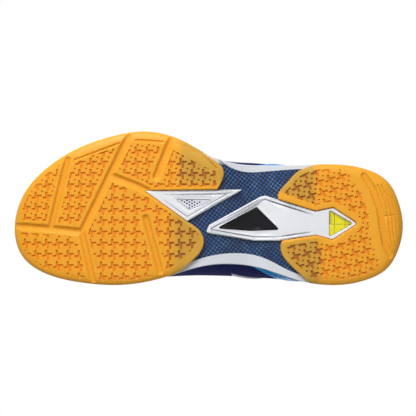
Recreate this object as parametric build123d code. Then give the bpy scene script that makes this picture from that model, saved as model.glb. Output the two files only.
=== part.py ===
from build123d import *
import math
import os

import numpy as np

# Left court shoe, millimetres.  +Y points to the heel, -Y to the toe, +X to the outer
# (lateral) side of the foot, +Z up.  The origin is on the ground under the middle.

# ---------------------------------------------------------------- driving dimensions
TOE_Y = -145.0              # tip of the sole
HEEL_Y = 145.0              # back of the sole
SIDE_X = 75.0               # half width of the blocks that cut the sole layers

FLAT_FRONT_Y = -85.0        # where the toe spring starts
ARCH_FRONT_Y = 0.0          # the arch rises between these two
ARCH_BACK_Y = 65.0
ARCH_RISE = 4.5
FLAT_BACK_Y = 124.0         # where the heel bevel starts
TOE_SPRING_RADIUS = 145.0
HEEL_BEVEL_RADIUS = 44.0

# heights of the sole layers over the ground curve
TREAD_TOP = 3.6             # rubber outsole
LIP_TOP = 8.0               # rubber lip around the foot of the midsole
LIP_WALL = 2.0
GROOVE_DEPTH = 1.9
COVER_BOTTOM = 1.2          # white covers under the shank
COVER_TOP = 3.5
PLATE_BOTTOM = 3.7          # woven shank plate
PLATE_TOP = 5.2
FIT_GAP = 0.25              # between glued pieces of the sole

GROOVE_WIDTH = 3.3
FINE_GROOVE_WIDTH = 1.3

BOARD_THICKNESS = 1.3       # closing board stitched into the upper
LINER_THICKNESS = 4.2       # removable sock liner
LINER_LIFT = 1.7            # its underside over the footbed

FEATHER_INSET = 7.5         # where the upper's wall stands, inside the sole's edge
WALL_RISE = 10.0            # straight foot of the wall
HEM_LIFT = 1.0              # hem of the panels over the footbed

# layers of the upper, measured outward from its inner reinforcement surface
LINING = (-1.6, -0.5)
STIFFENER = (-0.2, 0.9)
SHELL = (1.3, 2.9)
OVERLAY = (3.2, 4.0)
GUARD = (4.3, 5.3)
COLLAR_PAD = 7.5
SEAM = 0.03                 # gap between neighbouring panels, in stations
VAMP_SEAM = 12.8            # station of the seam between the quarters and the vamp

SURFACE_TOLERANCE = 0.02
SECTIONS_PER_STATION = 2.5

LINING_TOP = 0.985          # the linings stop this far up the wall

EYELET_PAIRS = 6
EYELET_HOLE = 2.0
EYELET_FLANGE = 3.4
LACE_WIDTH = 4.8
LACE_THICKNESS = 1.1

EYELET_T = 0.93             # place of the eyelets up the wall
EYELET_FIRST = 7.4          # station of the top eyelet
EYELET_STEP = 0.93
LACE_OVER = 5.5             # underside of the lace on top of the eyestay
LACE_UNDER = -4.7           # and where it comes back beneath the lining
CROSSING_LIFTS = (1.4, 3.4)

TONGUE_DROP = 6.4           # outer face of the tongue under the lining's wall surface
TONGUE_CROWN = 3.6
TONGUE_Y = (-57, -50, -40, -28, -14, 0, 10, 18)
TONGUE_HEAD = [(27, 97.5, 18.5), (33, 106.0, 18.0), (38, 114.5, 15.5)]     # y, z, half width
TONGUE_HEAD_X = -11.0
TONGUE_HEAD_FALL = 6.0
TONGUE_LEAN = 21.0          # the tongue's thickness leans back this far along the foot
TONGUE_HEAD_LEAN = 55.0     # and this far at its head

BLADE_CORNER = 1.4
BADGE_CORNER = 0.8
BADGE_SEAT = 2.3            # floor of the badge's pocket over the ground curve
HEEL_CUSHION = (-12.2, 104.5, 22.0, 23.0)       # middle x, y, half width, half length
HEEL_CUSHION_TOP = 15.5
FOREFOOT_CUSHION = (-1.0, -55.0, 30.0, 36.0)
FOREFOOT_CUSHION_LEVELS = (7.0, 10.0)

# Stations run round the shoe from the middle of the heel, along the outer side, to the
# toe at station 15, and back along the inner side.  Each has its point on the edge of
# the sole (x, y), its point on the edge of the foot opening (x, y, z), how far the wall
# bellies outward and how high, how far the shoulder reaches out of the opening (a share
# of the way to the sole's edge) and how far it drops.
STATIONS = np.array([
    (-12.7, 144.6, -12.5, 133.0, 90.0, 8.0, 26.0, 0.15, 18.0),
    (7.5, 140.0, 4.0, 129.5, 86.5, 8.0, 26.0, 0.15, 17.0),
    (21.5, 130.5, 14.0, 120.0, 79.5, 8.0, 25.0, 0.15, 15.0),
    (29.5, 113.5, 19.5, 105.0, 71.5, 7.5, 23.0, 0.18, 12.0),
    (32.2, 92.0, 21.5, 86.0, 66.5, 7.0, 22.0, 0.20, 10.0),
    (31.8, 67.0, 20.5, 63.0, 68.5, 10.5, 23.0, 0.25, 11.0),
    (31.5, 43.0, 15.5, 41.0, 79.0, 16.0, 24.0, 0.40, 12.0),
    (33.0, 20.0, 9.5, 23.0, 90.5, 19.5, 24.0, 0.50, 11.0),
    (40.5, -2.0, 8.0, 5.0, 85.5, 16.0, 24.0, 0.55, 8.0),
    (50.5, -20.5, 7.5, -10.0, 80.0, 11.0, 24.0, 0.58, 6.0),
    (56.3, -43.0, 7.5, -25.0, 74.5, 9.0, 23.0, 0.60, 5.0),
    (54.0, -67.0, 8.0, -39.0, 69.0, 9.0, 23.0, 0.58, 4.0),
    (46.0, -92.0, 7.5, -50.0, 65.0, 9.0, 22.0, 0.56, 3.0),
    (34.0, -114.0, 5.5, -57.5, 62.5, 9.0, 21.0, 0.55, 2.0),
    (13.5, -135.5, 0.0, -61.5, 61.0, 9.0, 20.0, 0.54, 1.0),
    (-13.8, -144.8, -7.5, -63.0, 60.5, 9.0, 19.0, 0.54, 1.0),
    (-37.0, -137.8, -14.5, -61.5, 61.0, 9.0, 20.0, 0.54, 1.0),
    (-49.5, -118.0, -19.5, -57.5, 62.5, 9.0, 21.0, 0.55, 2.0),
    (-54.8, -95.0, -22.0, -50.0, 65.0, 9.0, 22.0, 0.56, 3.0),
    (-56.9, -69.0, -23.0, -39.0, 69.0, 9.0, 23.0, 0.58, 4.0),
    (-54.2, -44.0, -24.0, -25.0, 74.5, 15.0, 25.0, 0.58, 6.0),
    (-48.0, -21.5, -25.5, -10.0, 80.5, 29.0, 28.0, 0.56, 8.0),
    (-42.8, -2.0, -27.5, 5.0, 86.0, 41.0, 30.0, 0.50, 11.0),
    (-41.6, 18.0, -30.5, 23.0, 91.5, 44.0, 30.0, 0.45, 14.0),
    (-45.2, 41.0, -37.0, 41.0, 81.0, 37.0, 29.0, 0.40, 14.0),
    (-53.5, 66.0, -43.0, 63.0, 71.5, 19.0, 26.0, 0.28, 12.0),
    (-57.0, 92.0, -46.0, 86.0, 69.5, 9.0, 23.0, 0.20, 11.0),
    (-54.3, 113.0, -43.5, 105.0, 73.5, 7.5, 24.0, 0.18, 13.0),
    (-46.3, 130.5, -37.5, 120.0, 80.5, 8.0, 25.0, 0.15, 15.0),
    (-32.0, 140.5, -28.5, 129.5, 86.5, 8.0, 26.0, 0.15, 17.0),
])
TOE_STATION = 15.0
THROAT_TOP_LATERAL = 7.0
THROAT_TOP_MEDIAL = 23.0

FOOTBED = [(-145, 24.5), (-125, 19), (-95, 15), (-55, 14.5), (0, 17), (45, 21.5),
           (90, 24), (145, 25)]
RIM = [(-145, 32), (-120, 27), (-85, 23.5), (-45, 22.5), (0, 23), (20, 23.5), (55, 27),
       (95, 33), (145, 37)]


# ---------------------------------------------------------------- curves and surfaces
def loop_slopes(values):
    """Slopes that let a closed cubic run smoothly through evenly spaced values."""
    count = len(values)
    unit = np.eye(count)
    matrix = 4 * unit + np.roll(unit, 1, 0) + np.roll(unit, -1, 0)
    return np.linalg.solve(matrix, 3 * (np.roll(values, -1, 0) - np.roll(values, 1, 0)))


SLOPES = loop_slopes(STATIONS)


def station(s):
    """The station table's row at any place round the shoe, and its slope."""
    first = math.floor(s)
    f = s - first
    a = first % len(STATIONS)
    b = (first + 1) % len(STATIONS)
    p, q, m, n = STATIONS[a], STATIONS[b], SLOPES[a], SLOPES[b]
    row = ((2 * f**3 - 3 * f**2 + 1) * p + (f**3 - 2 * f**2 + f) * m
           + (3 * f**2 - 2 * f**3) * q + (f**3 - f**2) * n)
    slope = ((6 * f**2 - 6 * f) * (p - q) + (3 * f**2 - 4 * f + 1) * m
             + (3 * f**2 - 2 * f) * n)
    return row, slope


def height_at(table, y):
    """Height over the ground of a side-view curve, without overshoot between points."""
    y = min(max(y, table[0][0]), table[-1][0])
    k = next(i for i in range(len(table) - 1) if y <= table[i + 1][0])

    def steepness(i):
        return (table[i + 1][1] - table[i][1]) / (table[i + 1][0] - table[i][0])

    def tangent(i):
        if i == 0 or i == len(table) - 1:
            return steepness(min(i, len(table) - 2))
        before, after = steepness(i - 1), steepness(i)
        return 0.0 if before * after <= 0 else 2 * before * after / (before + after)

    run = table[k + 1][0] - table[k][0]
    f = (y - table[k][0]) / run
    return ((2 * f**3 - 3 * f**2 + 1) * table[k][1] + (3 * f**2 - 2 * f**3) * table[k + 1][1]
            + run * ((f**3 - 2 * f**2 + f) * tangent(k) + (f**3 - f**2) * tangent(k + 1)))


def outline_point(s, inset):
    """Point on the sole's outline, moved in from its edge."""
    row, slope = station(s)
    normal = np.array([-slope[1], slope[0]])
    normal /= np.linalg.norm(normal)
    return row[:2] - inset * normal


def profile_points(s):
    """Control points of the upper's wall at a station, from footbed to opening."""
    row, slope = station(s)
    foot = outline_point(s, FEATHER_INSET)
    out = np.array([-slope[1], slope[0]]) / math.hypot(slope[0], slope[1])
    edge = row[2:5]
    floor = height_at(FOOTBED, outline_point(s, FEATHER_INSET - SHELL[1])[1]) + HEM_LIFT

    def place(plan, z):
        return np.array([plan[0], plan[1], z])

    shoulder = edge[:2] + row[7] * (foot - edge[:2])
    return (place(foot, floor), place(foot + out, floor + WALL_RISE),
            place(foot + row[5] * out, floor + row[6]),
            place(shoulder, edge[2] - row[8]), edge)


def wall_point(s, t):
    weights = [math.comb(4, i) * (1 - t) ** (4 - i) * t**i for i in range(5)]
    return sum(w * p for w, p in zip(weights, profile_points(s)))


def wall(s, t, offset=0.0):
    """Point on the upper: s round the shoe, t from 0 at the footbed to 1 at the opening.

    The offset is measured outward, square to the wall.
    """
    step = 0.01
    normal = np.cross(wall_point(s, t + step) - wall_point(s, t - step),
                      wall_point(s + step, t) - wall_point(s - step, t))
    return wall_point(s, t) + offset * normal / np.linalg.norm(normal)


def share_at_height(s, z):
    """The t at which the wall of a station reaches a height."""
    low, high = 0.0, 1.0
    for _ in range(30):
        middle = (low + high) / 2
        if wall(s, middle)[2] < z:
            low = middle
        else:
            high = middle
    return low


def above_rim(s, gap=1.5):
    """The t just over the rim of the midsole."""
    foot = outline_point(s, FEATHER_INSET)
    return share_at_height(s, height_at(RIM, foot[1]) + gap)


def as_law(value):
    return value if callable(value) else lambda *_: value


def patch(start, end, low, high, layer, points=11):
    """A panel of the upper: a thickened piece of its wall between two stations.

    low and high are t, or laws of s; layer is an offset pair, or a pair of laws of (s, t).
    """
    low, high = as_law(low), as_law(high)
    sections = max(5, round(abs(end - start) * SECTIONS_PER_STATION) + 1)
    faces = []
    for law in (as_law(layer[0]), as_law(layer[1])):
        grid = []
        for s in np.linspace(start, end, sections):
            steps = np.linspace(low(s), high(s), points)
            grid.append([Vector(*wall(s, t, law(s, t))) for t in steps])
        faces.append(Face.make_surface_from_array_of_points(grid, tol=SURFACE_TOLERANCE))
    inner, outer = faces
    sides = [Face.make_surface_from_curves(a, b) for a, b in zip(inner.edges(), outer.edges())]
    return closed_solid([inner, outer, *sides])


def closed_solid(faces):
    """Solid inside a closed set of faces, turned the right way out."""
    body = Solid(Shell(faces))
    return body if body.volume > 0 else Solid(Shell([-face for face in faces]))


# ---------------------------------------------------------------- sole: cutting blocks
def side_block(lower, upper):
    """Block across the whole width between two chains of edges seen from the side."""
    first, last = lower[0] @ 0, lower[-1] @ 1
    start, finish = upper[0] @ 0, upper[-1] @ 1
    ring = Wire([*lower, Edge.make_line(last, finish), *upper, Edge.make_line(start, first)])
    return Solid.extrude(Face(ring), Vector(2 * SIDE_X, 0, 0))


def ground_edges(lift):
    """Underside of the sole, seen from the side, raised by a lift."""
    def at(y, z):
        return Vector(-SIDE_X, y, z + lift)

    def on_arc(corner, radius, y):
        return at(y, radius - math.sqrt(radius**2 - (y - corner) ** 2))

    reach = 6.0
    toe = Edge.make_three_point_arc(
        on_arc(FLAT_FRONT_Y, TOE_SPRING_RADIUS, TOE_Y - reach),
        on_arc(FLAT_FRONT_Y, TOE_SPRING_RADIUS, (TOE_Y + FLAT_FRONT_Y) / 2),
        at(FLAT_FRONT_Y, 0))
    arch = Edge.make_spline(
        [at(ARCH_FRONT_Y, 0), at((ARCH_FRONT_Y + ARCH_BACK_Y) / 2, ARCH_RISE),
         at(ARCH_BACK_Y, 0)], tangents=[Vector(0, 1, 0), Vector(0, 1, 0)])
    heel = Edge.make_three_point_arc(
        at(FLAT_BACK_Y, 0), on_arc(FLAT_BACK_Y, HEEL_BEVEL_RADIUS, (HEEL_Y + FLAT_BACK_Y) / 2),
        on_arc(FLAT_BACK_Y, HEEL_BEVEL_RADIUS, HEEL_Y + reach))
    return [toe, Edge.make_line(at(FLAT_FRONT_Y, 0), at(ARCH_FRONT_Y, 0)), arch,
            Edge.make_line(at(ARCH_BACK_Y, 0), at(FLAT_BACK_Y, 0)), heel]


def table_edges(table, lift, samples=14):
    reach = 6.0
    ys = np.linspace(TOE_Y, HEEL_Y, samples)
    points = [Vector(-SIDE_X, y, height_at(table, y) + lift) for y in ys]
    points = [points[0] + Vector(0, -reach, 0.5), *points, points[-1] + Vector(0, reach, 0)]
    return [Edge.make_spline(points)]


def ground_band(low, high):
    return side_block(ground_edges(low), ground_edges(high))


def footbed_band(low, high):
    return side_block(table_edges(FOOTBED, low), table_edges(FOOTBED, high))


def outline_face(inset, z):
    points = [Vector(*outline_point(s, inset), z) for s in np.arange(0, 30, 0.5)]
    return Face(Wire([Edge.make_spline(points, periodic=True)]))


def outline_prism(inset, low=-10.0, high=80.0):
    return Solid.extrude(outline_face(inset, low), Vector(0, 0, high - low))


def plan_prism(edges, low=-10.0, high=80.0):
    """Prism over a closed chain of edges drawn in plan at z = 0."""
    face = Face(Wire(edges)).moved(Location((0, 0, low)))
    return Solid.extrude(face, Vector(0, 0, high - low))


def chain(*stretches):
    """Closed chain in plan; each stretch is a list of points, curved when over two."""
    edges = []
    last = None
    for stretch in stretches:
        points = [Vector(x, y, 0) for x, y in stretch]
        if last is not None and (points[0] - last).length > 1e-6:
            edges.append(Edge.make_line(last, points[0]))
        edges.append(Edge.make_spline(points) if len(points) > 2 else
                     Edge.make_line(points[0], points[1]))
        last = points[-1]
    first = edges[0] @ 0
    if (last - first).length > 1e-6:
        edges.append(Edge.make_line(last, first))
    return edges


def rounded_prism(points, radius, grow=0.0):
    """Prism over a polygon with rounded corners, grown or shrunk all round."""
    shape = Polygon(*points, align=None)
    shape = fillet(shape.vertices(), radius)
    if grow:
        shape = offset(shape, grow, kind=Kind.ARC if grow > 0 else Kind.INTERSECTION)
    return extrude(Pos(0, 0, -10) * shape, 90)


def stroke_prism(points, width):
    """Prism over a line of a given width with round ends."""
    shapes = []
    for (ax, ay), (bx, by) in zip(points, points[1:]):
        run = math.hypot(bx - ax, by - ay)
        turn = math.degrees(math.atan2(by - ay, bx - ax))
        place = Location(((ax + bx) / 2, (ay + by) / 2, -10), (0, 0, turn))
        shapes.append(extrude(place * SlotCenterToCenter(run, width), 90))
    solid = shapes[0]
    for shape in shapes[1:]:
        solid += shape
    return solid


# ---------------------------------------------------------------- sole: plan shapes
FOREFOOT_TAIL_LATERAL = [(80, -14), (50, -12), (43, -6.2), (34.8, 5), (29.6, 10.8),
                         (25.7, 11.8), (20.2, 10.4), (14.8, 7.6)]
FOREFOOT_TAIL_MEDIAL = [(-9.5, -16.4), (-17.5, -5.5), (-23.5, -3), (-32.2, -5.4),
                        (-39.2, -12), (-48, -23), (-60, -34), (-80, -34)]
UNDER_VENT = [(4, -4), (4, -14)]         # the notch's border here lies under the vent plate
HEEL_FRONT_LATERAL = [(5, 52.2), (8, 51.5), (19, 58.6), (25.7, 64.7), (29.4, 71.5),
                      (33, 82), (45, 92)]
HEEL_FRONT_MEDIAL = [(-65, 84), (-51.6, 71), (-42, 60.5), (-29, 53.4), (-24, 55),
                     (-22.2, 59)]
PLATE_LATERAL = [(46, -26), (43, -6), (34.7, 9.5), (30.5, 16), (27, 26), (27, 42),
                 (28.2, 58), (28.5, 79)]
PLATE_MEDIAL = [(-50, 79), (-47.5, 63), (-36.5, 40), (-33.7, 26), (-34, 10), (-39.5, -12),
                (-46, -26)]
BLADE = [(-18.2, -1.6), (-12.6, 0.8), (8.4, 39.0), (9.2, 42.5), (-2.4, 79.0), (0.3, 92.0),
         (-11.6, 110.2), (-23.2, 91.8), (-20.0, 79.5), (-24.2, 52.0), (-24.2, 34.0)]
BADGE = [(-14.9, 6.5), (0.6, 36.0), (-16.0, 52.7), (-16.8, 31.0)]
WINDOW = [(-1.9, 89.6), (-11.6, 106.4), (-20.9, 89.6)]
VENT_PLATE = [(12.6, -46.6), (13.7, 26.0), (-9.8, -15.4)]
VENT_WINDOW = [(6.4, -23.5), (5.8, 3.0), (-1.3, -13.6)]

FLEX_GROOVES = [
    [(-12.7, -150), (-15.1, -116.5), (-18.4, -94.9)],
    [(-14.0, -116), (36, -103.5)],
    [(-18.4, -94.9), (53.4, -58.3)],
    [(-18.4, -94.9), (-54, -84.5)],
    [(23.8, -71), (16, -51), (12.3, -44)],
    [(22.7, -38.4), (51.2, -27)],
    [(-7.2, -45.8), (-47, -35)]]
FINE_GROOVES = [
    [(35.4, -98), (47.7, -65)],
    [(50, -53), (48.8, -33)],
    [(48.8, -23.5), (40, -4), (29.5, 6)]]
HEEL_GROOVE = [(24, 115), (13, 121.5), (0.4, 126.2), (-13.8, 128.2), (-27, 130.5),
               (-35, 134.5)]


def forefoot_region():
    return plan_prism(chain(FOREFOOT_TAIL_LATERAL, UNDER_VENT, FOREFOOT_TAIL_MEDIAL,
                            [(-80, -34), (-80, -170)], [(80, -170), (80, -14)]))


def heel_region():
    region = plan_prism(chain(HEEL_FRONT_LATERAL, [(80, 92), (80, 170)],
                              [(-80, 170), (-80, 84)], HEEL_FRONT_MEDIAL))
    return region


def outsole(region):
    """Rubber plate with a lip that wraps the foot of the midsole."""
    plate = outline_prism(0.0) & region & ground_band(0, TREAD_TOP)
    ring = outline_prism(0.0) - outline_prism(LIP_WALL)
    return plate + (ring & region & ground_band(TREAD_TOP - 0.5, LIP_TOP))


def grooves(lines, width):
    cutter = ground_band(-2, GROOVE_DEPTH)
    return [stroke_prism(line, width) & cutter for line in lines]


# ---------------------------------------------------------------- sole: layers
def forefoot_outsole():
    body = outsole(forefoot_region()) - rounded_prism(VENT_PLATE, BLADE_CORNER, FIT_GAP)
    for groove in (grooves(FLEX_GROOVES, GROOVE_WIDTH)
                   + grooves(FINE_GROOVES, FINE_GROOVE_WIDTH)):
        body -= groove
    return body


def heel_outsole():
    body = outsole(heel_region()) - rounded_prism(BLADE, BLADE_CORNER, FIT_GAP)
    for groove in grooves([HEEL_GROOVE], GROOVE_WIDTH):
        body -= groove
    return body


def plate_prism():
    return plan_prism(chain(PLATE_LATERAL, PLATE_MEDIAL))


def shank_plate():
    return plate_prism() & outline_prism(LIP_WALL + 1.0) & ground_band(PLATE_BOTTOM, PLATE_TOP)


def upper_core(offset):
    """The space that the foot of the upper takes inside the midsole's rim."""
    wires = []
    for z in (8.0, 16.0, 23.0, 30.0, 38.0, 48.0):
        points = [wall_at_height(s, z, offset) for s in np.arange(0, 30, 0.5)]
        wires.append(Wire([Edge.make_spline(points, periodic=True)]))
    return Solid.make_loft(wires)


def midsole():
    levels = ((-2, 0.8), (16, 0.3), (34, 0.8), (60, 2.5))
    block = Solid.make_loft([outline_face(inset, z).outer_wire() for z, inset in levels])
    body = block & side_block(ground_edges(PLATE_BOTTOM), table_edges(RIM, 0))
    body -= upper_core(SHELL[1] + 2 * FIT_GAP) & footbed_band(0, 60)
    body -= plate_prism() & ground_band(-5, PLATE_TOP + FIT_GAP)
    ring = outline_prism(-5.0) - outline_prism(LIP_WALL + FIT_GAP)
    lips = ring & ground_band(-5, LIP_TOP + FIT_GAP)
    body -= lips & forefoot_region()
    body -= lips & heel_region()
    body -= cushion_prism(HEEL_CUSHION, FIT_GAP) & ground_band(-5, HEEL_CUSHION_TOP + FIT_GAP)
    body -= (cushion_prism(FOREFOOT_CUSHION, FIT_GAP)
             & ground_band(FOREFOOT_CUSHION_LEVELS[0] - FIT_GAP,
                           FOREFOOT_CUSHION_LEVELS[1] + FIT_GAP))
    return body


def cushion_prism(size, grow=0.0):
    x, y, half_width, half_length = size
    shape = Pos(x, y, -10) * Ellipse(half_width + grow, half_length + grow)
    return extrude(shape, 90)


def heel_cushion():
    return (cushion_prism(HEEL_CUSHION)
            & ground_band(PLATE_BOTTOM + FIT_GAP, HEEL_CUSHION_TOP))


def forefoot_cushion():
    return cushion_prism(FOREFOOT_CUSHION) & ground_band(*FOREFOOT_CUSHION_LEVELS)


def arch_blade():
    body = rounded_prism(BLADE, BLADE_CORNER) & ground_band(COVER_BOTTOM, COVER_TOP)
    body -= rounded_prism(BADGE, BADGE_CORNER, FIT_GAP) & ground_band(-5, BADGE_SEAT)
    body -= rounded_prism(WINDOW, BADGE_CORNER, FIT_GAP)
    inner = (rounded_prism(BLADE, BLADE_CORNER, -2.6) - rounded_prism(BLADE, BLADE_CORNER, -3.2))
    return body - (inner & ground_band(-5, COVER_BOTTOM + 0.4))


def badge_insert():
    return rounded_prism(BADGE, BADGE_CORNER) & ground_band(COVER_BOTTOM, BADGE_SEAT - 0.1)


def heel_window():
    return rounded_prism(WINDOW, BADGE_CORNER) & ground_band(COVER_BOTTOM + 0.3, COVER_TOP)


def forefoot_vent_plate():
    body = rounded_prism(VENT_PLATE, BLADE_CORNER) & ground_band(COVER_BOTTOM, COVER_TOP)
    return body - rounded_prism(VENT_WINDOW, 1.0, FIT_GAP)


def forefoot_vent_mesh():
    sheet = rounded_prism(VENT_WINDOW, 1.0) & ground_band(COVER_BOTTOM + 0.7, COVER_TOP - 0.5)
    pitch = 2.6
    for column in range(-1, 3):
        for row in range(-9, 2):
            x = column * pitch + (row % 2) * pitch / 2 + 1.0
            y = row * pitch * 0.87 - 0.5
            if sheet_has_room(x, y):
                sheet -= Pos(x, y, -10) * Cylinder(0.8, 60)
    return sheet


def sheet_has_room(x, y):
    """Whether a vent hole at a place stays inside the border of the vent window."""
    border = rounded_prism(VENT_WINDOW, 0.6, -1.4)
    return border.is_inside(Vector(x, y, 5))


def strobel_board():
    return outline_prism(FEATHER_INSET - LINING[0] + 0.7) & footbed_band(0.15, BOARD_THICKNESS)


def sock_liner():
    return (outline_prism(FEATHER_INSET - LINING[0] + 1.2)
            & footbed_band(LINER_LIFT, LINER_LIFT + LINER_THICKNESS))


# ---------------------------------------------------------------- upper: layers
def smooth_step(x):
    x = min(1.0, max(0.0, x))
    return x * x * (3 - 2 * x)


def collar_pad(s, t):
    """Thickness of the foam round the ankle."""
    away = abs((s + 15) % 30 - 15)
    swell = math.sin(math.pi * min(1.0, max(0.0, (t - 0.36) / 0.66))) ** 2
    return COLLAR_PAD * smooth_step((6.6 - away) / 2.2) * swell


def rear_lining_inner(s, t):
    return LINING[0] - 1.12 * collar_pad(s, t)


def rear_lining_outer(s, t):
    return LINING[1] - 1.08 * collar_pad(s, t)


def eyelet_stations(side):
    """Stations of the eyelet pairs on one side, top first."""
    for row in range(EYELET_PAIRS):
        s = EYELET_FIRST + row * EYELET_STEP
        yield s if side > 0 else 30 - s


def eyelet_axis(s, low, high):
    """Cylinder placement through the wall at an eyelet."""
    bottom = Vector(*wall(s, EYELET_T, low))
    top = Vector(*wall(s, EYELET_T, high))
    return bottom, top


def eyelet_pin(s, radius, low, high):
    bottom, top = eyelet_axis(s, low, high)
    frame = Plane(origin=bottom, z_dir=top - bottom)
    return Solid.make_cylinder(radius, (top - bottom).length, frame)


def punched(panel, side, radius):
    for s in eyelet_stations(side):
        panel -= eyelet_pin(s, radius, -6, 8)
    return panel


def eyestay(side):
    start, end = (THROAT_TOP_LATERAL + 0.02, 13.0) if side > 0 else (17.0, THROAT_TOP_MEDIAL - 0.02)
    return punched(patch(start, end, 0.82, 0.995, OVERLAY), side, EYELET_HOLE + 0.4)


def eyelets():
    rings = []
    for side in (1, -1):
        for s in eyelet_stations(side):
            flange = eyelet_pin(s, EYELET_FLANGE, OVERLAY[1] + 0.3, OVERLAY[1] + 0.7)
            barrel = eyelet_pin(s, EYELET_HOLE + 0.3, 0.2, OVERLAY[1] + 0.5)
            ring = flange + barrel
            ring -= eyelet_pin(s, EYELET_HOLE - 0.1, -3, 9)
            rings.append(ring)
    return Compound(rings)


def lateral_quarter():
    return punched(patch(SEAM, VAMP_SEAM - SEAM, 0.0, 1.0, SHELL), 1, EYELET_HOLE + 0.4)


def medial_quarter():
    return punched(patch(30 - VAMP_SEAM + SEAM, 30 - SEAM, 0.0, 1.0, SHELL), -1, EYELET_HOLE + 0.4)


def vamp():
    return patch(VAMP_SEAM + SEAM, 30 - VAMP_SEAM - SEAM, 0.0, 1.0, SHELL)


def heel_lining():
    return patch(-7.5, 7.5, 0.02, LINING_TOP, (rear_lining_inner, rear_lining_outer), 19)


def vamp_lining():
    return patch(7.5 + 2 * SEAM, 22.5 - 2 * SEAM, 0.02, LINING_TOP, LINING)


def collar_padding():
    return patch(-5.4, 5.4, 0.46, 0.92,
                 (lambda s, t: 0.35 - collar_pad(s, t), lambda s, t: 0.0), 15)


def topline_binding():
    return patch(-6.7, 6.7, 1.025, 1.055, (-1.6, 2.9), 5)


def heel_counter():
    return patch(-4.2, 4.2, 0.03, 0.44, STIFFENER)


def toe_puff():
    return patch(12.2, 17.8, 0.03, lambda s: 0.62 - 0.02 * (s - TOE_STATION) ** 2, STIFFENER)


def toe_overlay():
    def top(s):
        return 0.58 - 0.035 * (s - TOE_STATION) ** 2
    return patch(12.3, 18.2, above_rim, lambda s: max(top(s), above_rim(s) + 0.08), OVERLAY)


def drag_guard():
    """Tough pad where the inner side of the toe scrapes the court."""
    return patch(15.6, 18.0, lambda s: above_rim(s) + 0.02,
                 lambda s: above_rim(s) + 0.16 - 0.03 * abs(s - 16.8), GUARD)


def heel_stabiliser():
    def top(s):
        return above_rim(s) + 0.22 - 0.012 * s * s
    return patch(-3.6, 3.6, above_rim, top, OVERLAY)


def heel_pull_strip():
    return patch(-0.42, 0.42, lambda s: above_rim(s) + 0.27, 0.99, OVERLAY)


def side_stripes(first, step, lean):
    """Two slanted stripes that rise toward the heel."""
    stripes = []
    for k in range(2):
        start = first + k * step

        def low(s, start=start):
            return above_rim(start) + 0.02 + 0.16 * (s - start) * lean

        def high(s, start=start):
            return low(s, start) + 0.075
        stripes.append(patch(start, start + 2.6 * lean, low, high, OVERLAY))
    return Compound(stripes)


# ---------------------------------------------------------------- tongue and laces
def wall_at_height(s, z, offset):
    """Point of the wall's outer face at a height; its foot is carried straight down."""
    foot = wall(s, 0.0, offset)
    if z <= foot[2]:
        return Vector(foot[0], foot[1], z)
    low, high = 0.0, 1.0
    for _ in range(30):
        middle = (low + high) / 2
        if wall(s, middle, offset)[2] < z:
            low = middle
        else:
            high = middle
    point = wall(s, low, offset)
    return Vector(point[0], point[1], z)


def wall_at_y(side, y, t, offset):
    """Point of the wall over the forefoot where it crosses a cross-section of the shoe."""
    low, high = 5.0, 14.9
    for _ in range(30):
        middle = (low + high) / 2
        place = wall(middle if side > 0 else 30 - middle, t, offset)
        if place[1] > y:
            low = middle
        else:
            high = middle
    return wall(low if side > 0 else 30 - low, t, offset)


def sunk(x, y, z, depth, lean):
    """A point moved into the shoe, square to a tongue that leans back by an angle."""
    turn = math.radians(lean)
    return Vector(x, y + depth * math.sin(turn), z - depth * math.cos(turn))


def tongue_row(y, depth):
    """Points across the tongue between the quarters, at a depth under its outer face."""
    halves = [[wall_at_y(side, y, t, -TONGUE_DROP) for t in (0.89, 0.94, 0.99)]
              for side in (1, -1)]
    middle = (halves[0][-1] + halves[1][-1]) / 2 + np.array([0, 0, TONGUE_CROWN])
    row = [*halves[0], middle, *halves[1][::-1]]
    return [sunk(p[0], y, p[2], depth, TONGUE_LEAN) for p in row]


def tongue_head_row(y, z, half_width, depth):
    """Points across the padded head of the tongue, above the collar."""
    return [sunk(TONGUE_HEAD_X + share * half_width, y, z - TONGUE_HEAD_FALL * share**2,
                 depth, TONGUE_HEAD_LEAN)
            for share in (1, 0.75, 0.4, 0, -0.4, -0.75, -1)]


def tongue_layer(top, bottom):
    faces = []
    for depth in (bottom, top):
        grid = [tongue_row(y, depth) for y in TONGUE_Y]
        grid += [tongue_head_row(y, z, half, depth) for y, z, half in TONGUE_HEAD]
        faces.append(Face.make_surface_from_array_of_points(grid, tol=SURFACE_TOLERANCE))
    lower, upper = faces
    sides = [Face.make_surface_from_curves(a, b) for a, b in zip(lower.edges(), upper.edges())]
    return closed_solid([lower, upper, *sides])


def lace_run(start, end, over, lift):
    """Stretch of lace across the tongue; it ends beneath the far eyestay.

    It starts on top of the near eyestay when over is true, and beneath it otherwise.
    """
    first = LACE_OVER if over else LACE_UNDER
    a, edge_a = Vector(*wall(start, EYELET_T, first)), Vector(*wall(start, 1.0, first))
    b, edge_b = (Vector(*wall(end, EYELET_T, LACE_UNDER)),
                 Vector(*wall(end, 1.0, LACE_UNDER)))
    middle = (Vector(*wall(start, 1.0)) + Vector(*wall(end, 1.0))) * 0.5 + Vector(0, 0, lift)
    path = Edge.make_spline([a, edge_a, middle, edge_b, b])
    side = Vector(0, 0, 1).cross(b - a).normalized()
    wires = []
    for share in np.linspace(0, 1, 9):
        at = path @ share
        normal = (path % share).cross(side).normalized()
        if normal.Z < 0:
            normal = normal * -1
        half = side * (LACE_WIDTH / 2)
        thick = normal * LACE_THICKNESS
        corners = [at - half, at + half, at + half + thick, at - half + thick]
        wires.append(Wire([Edge.make_line(corners[i], corners[(i + 1) % 4])
                           for i in range(4)]))
    return Solid.make_loft(wires)


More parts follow.
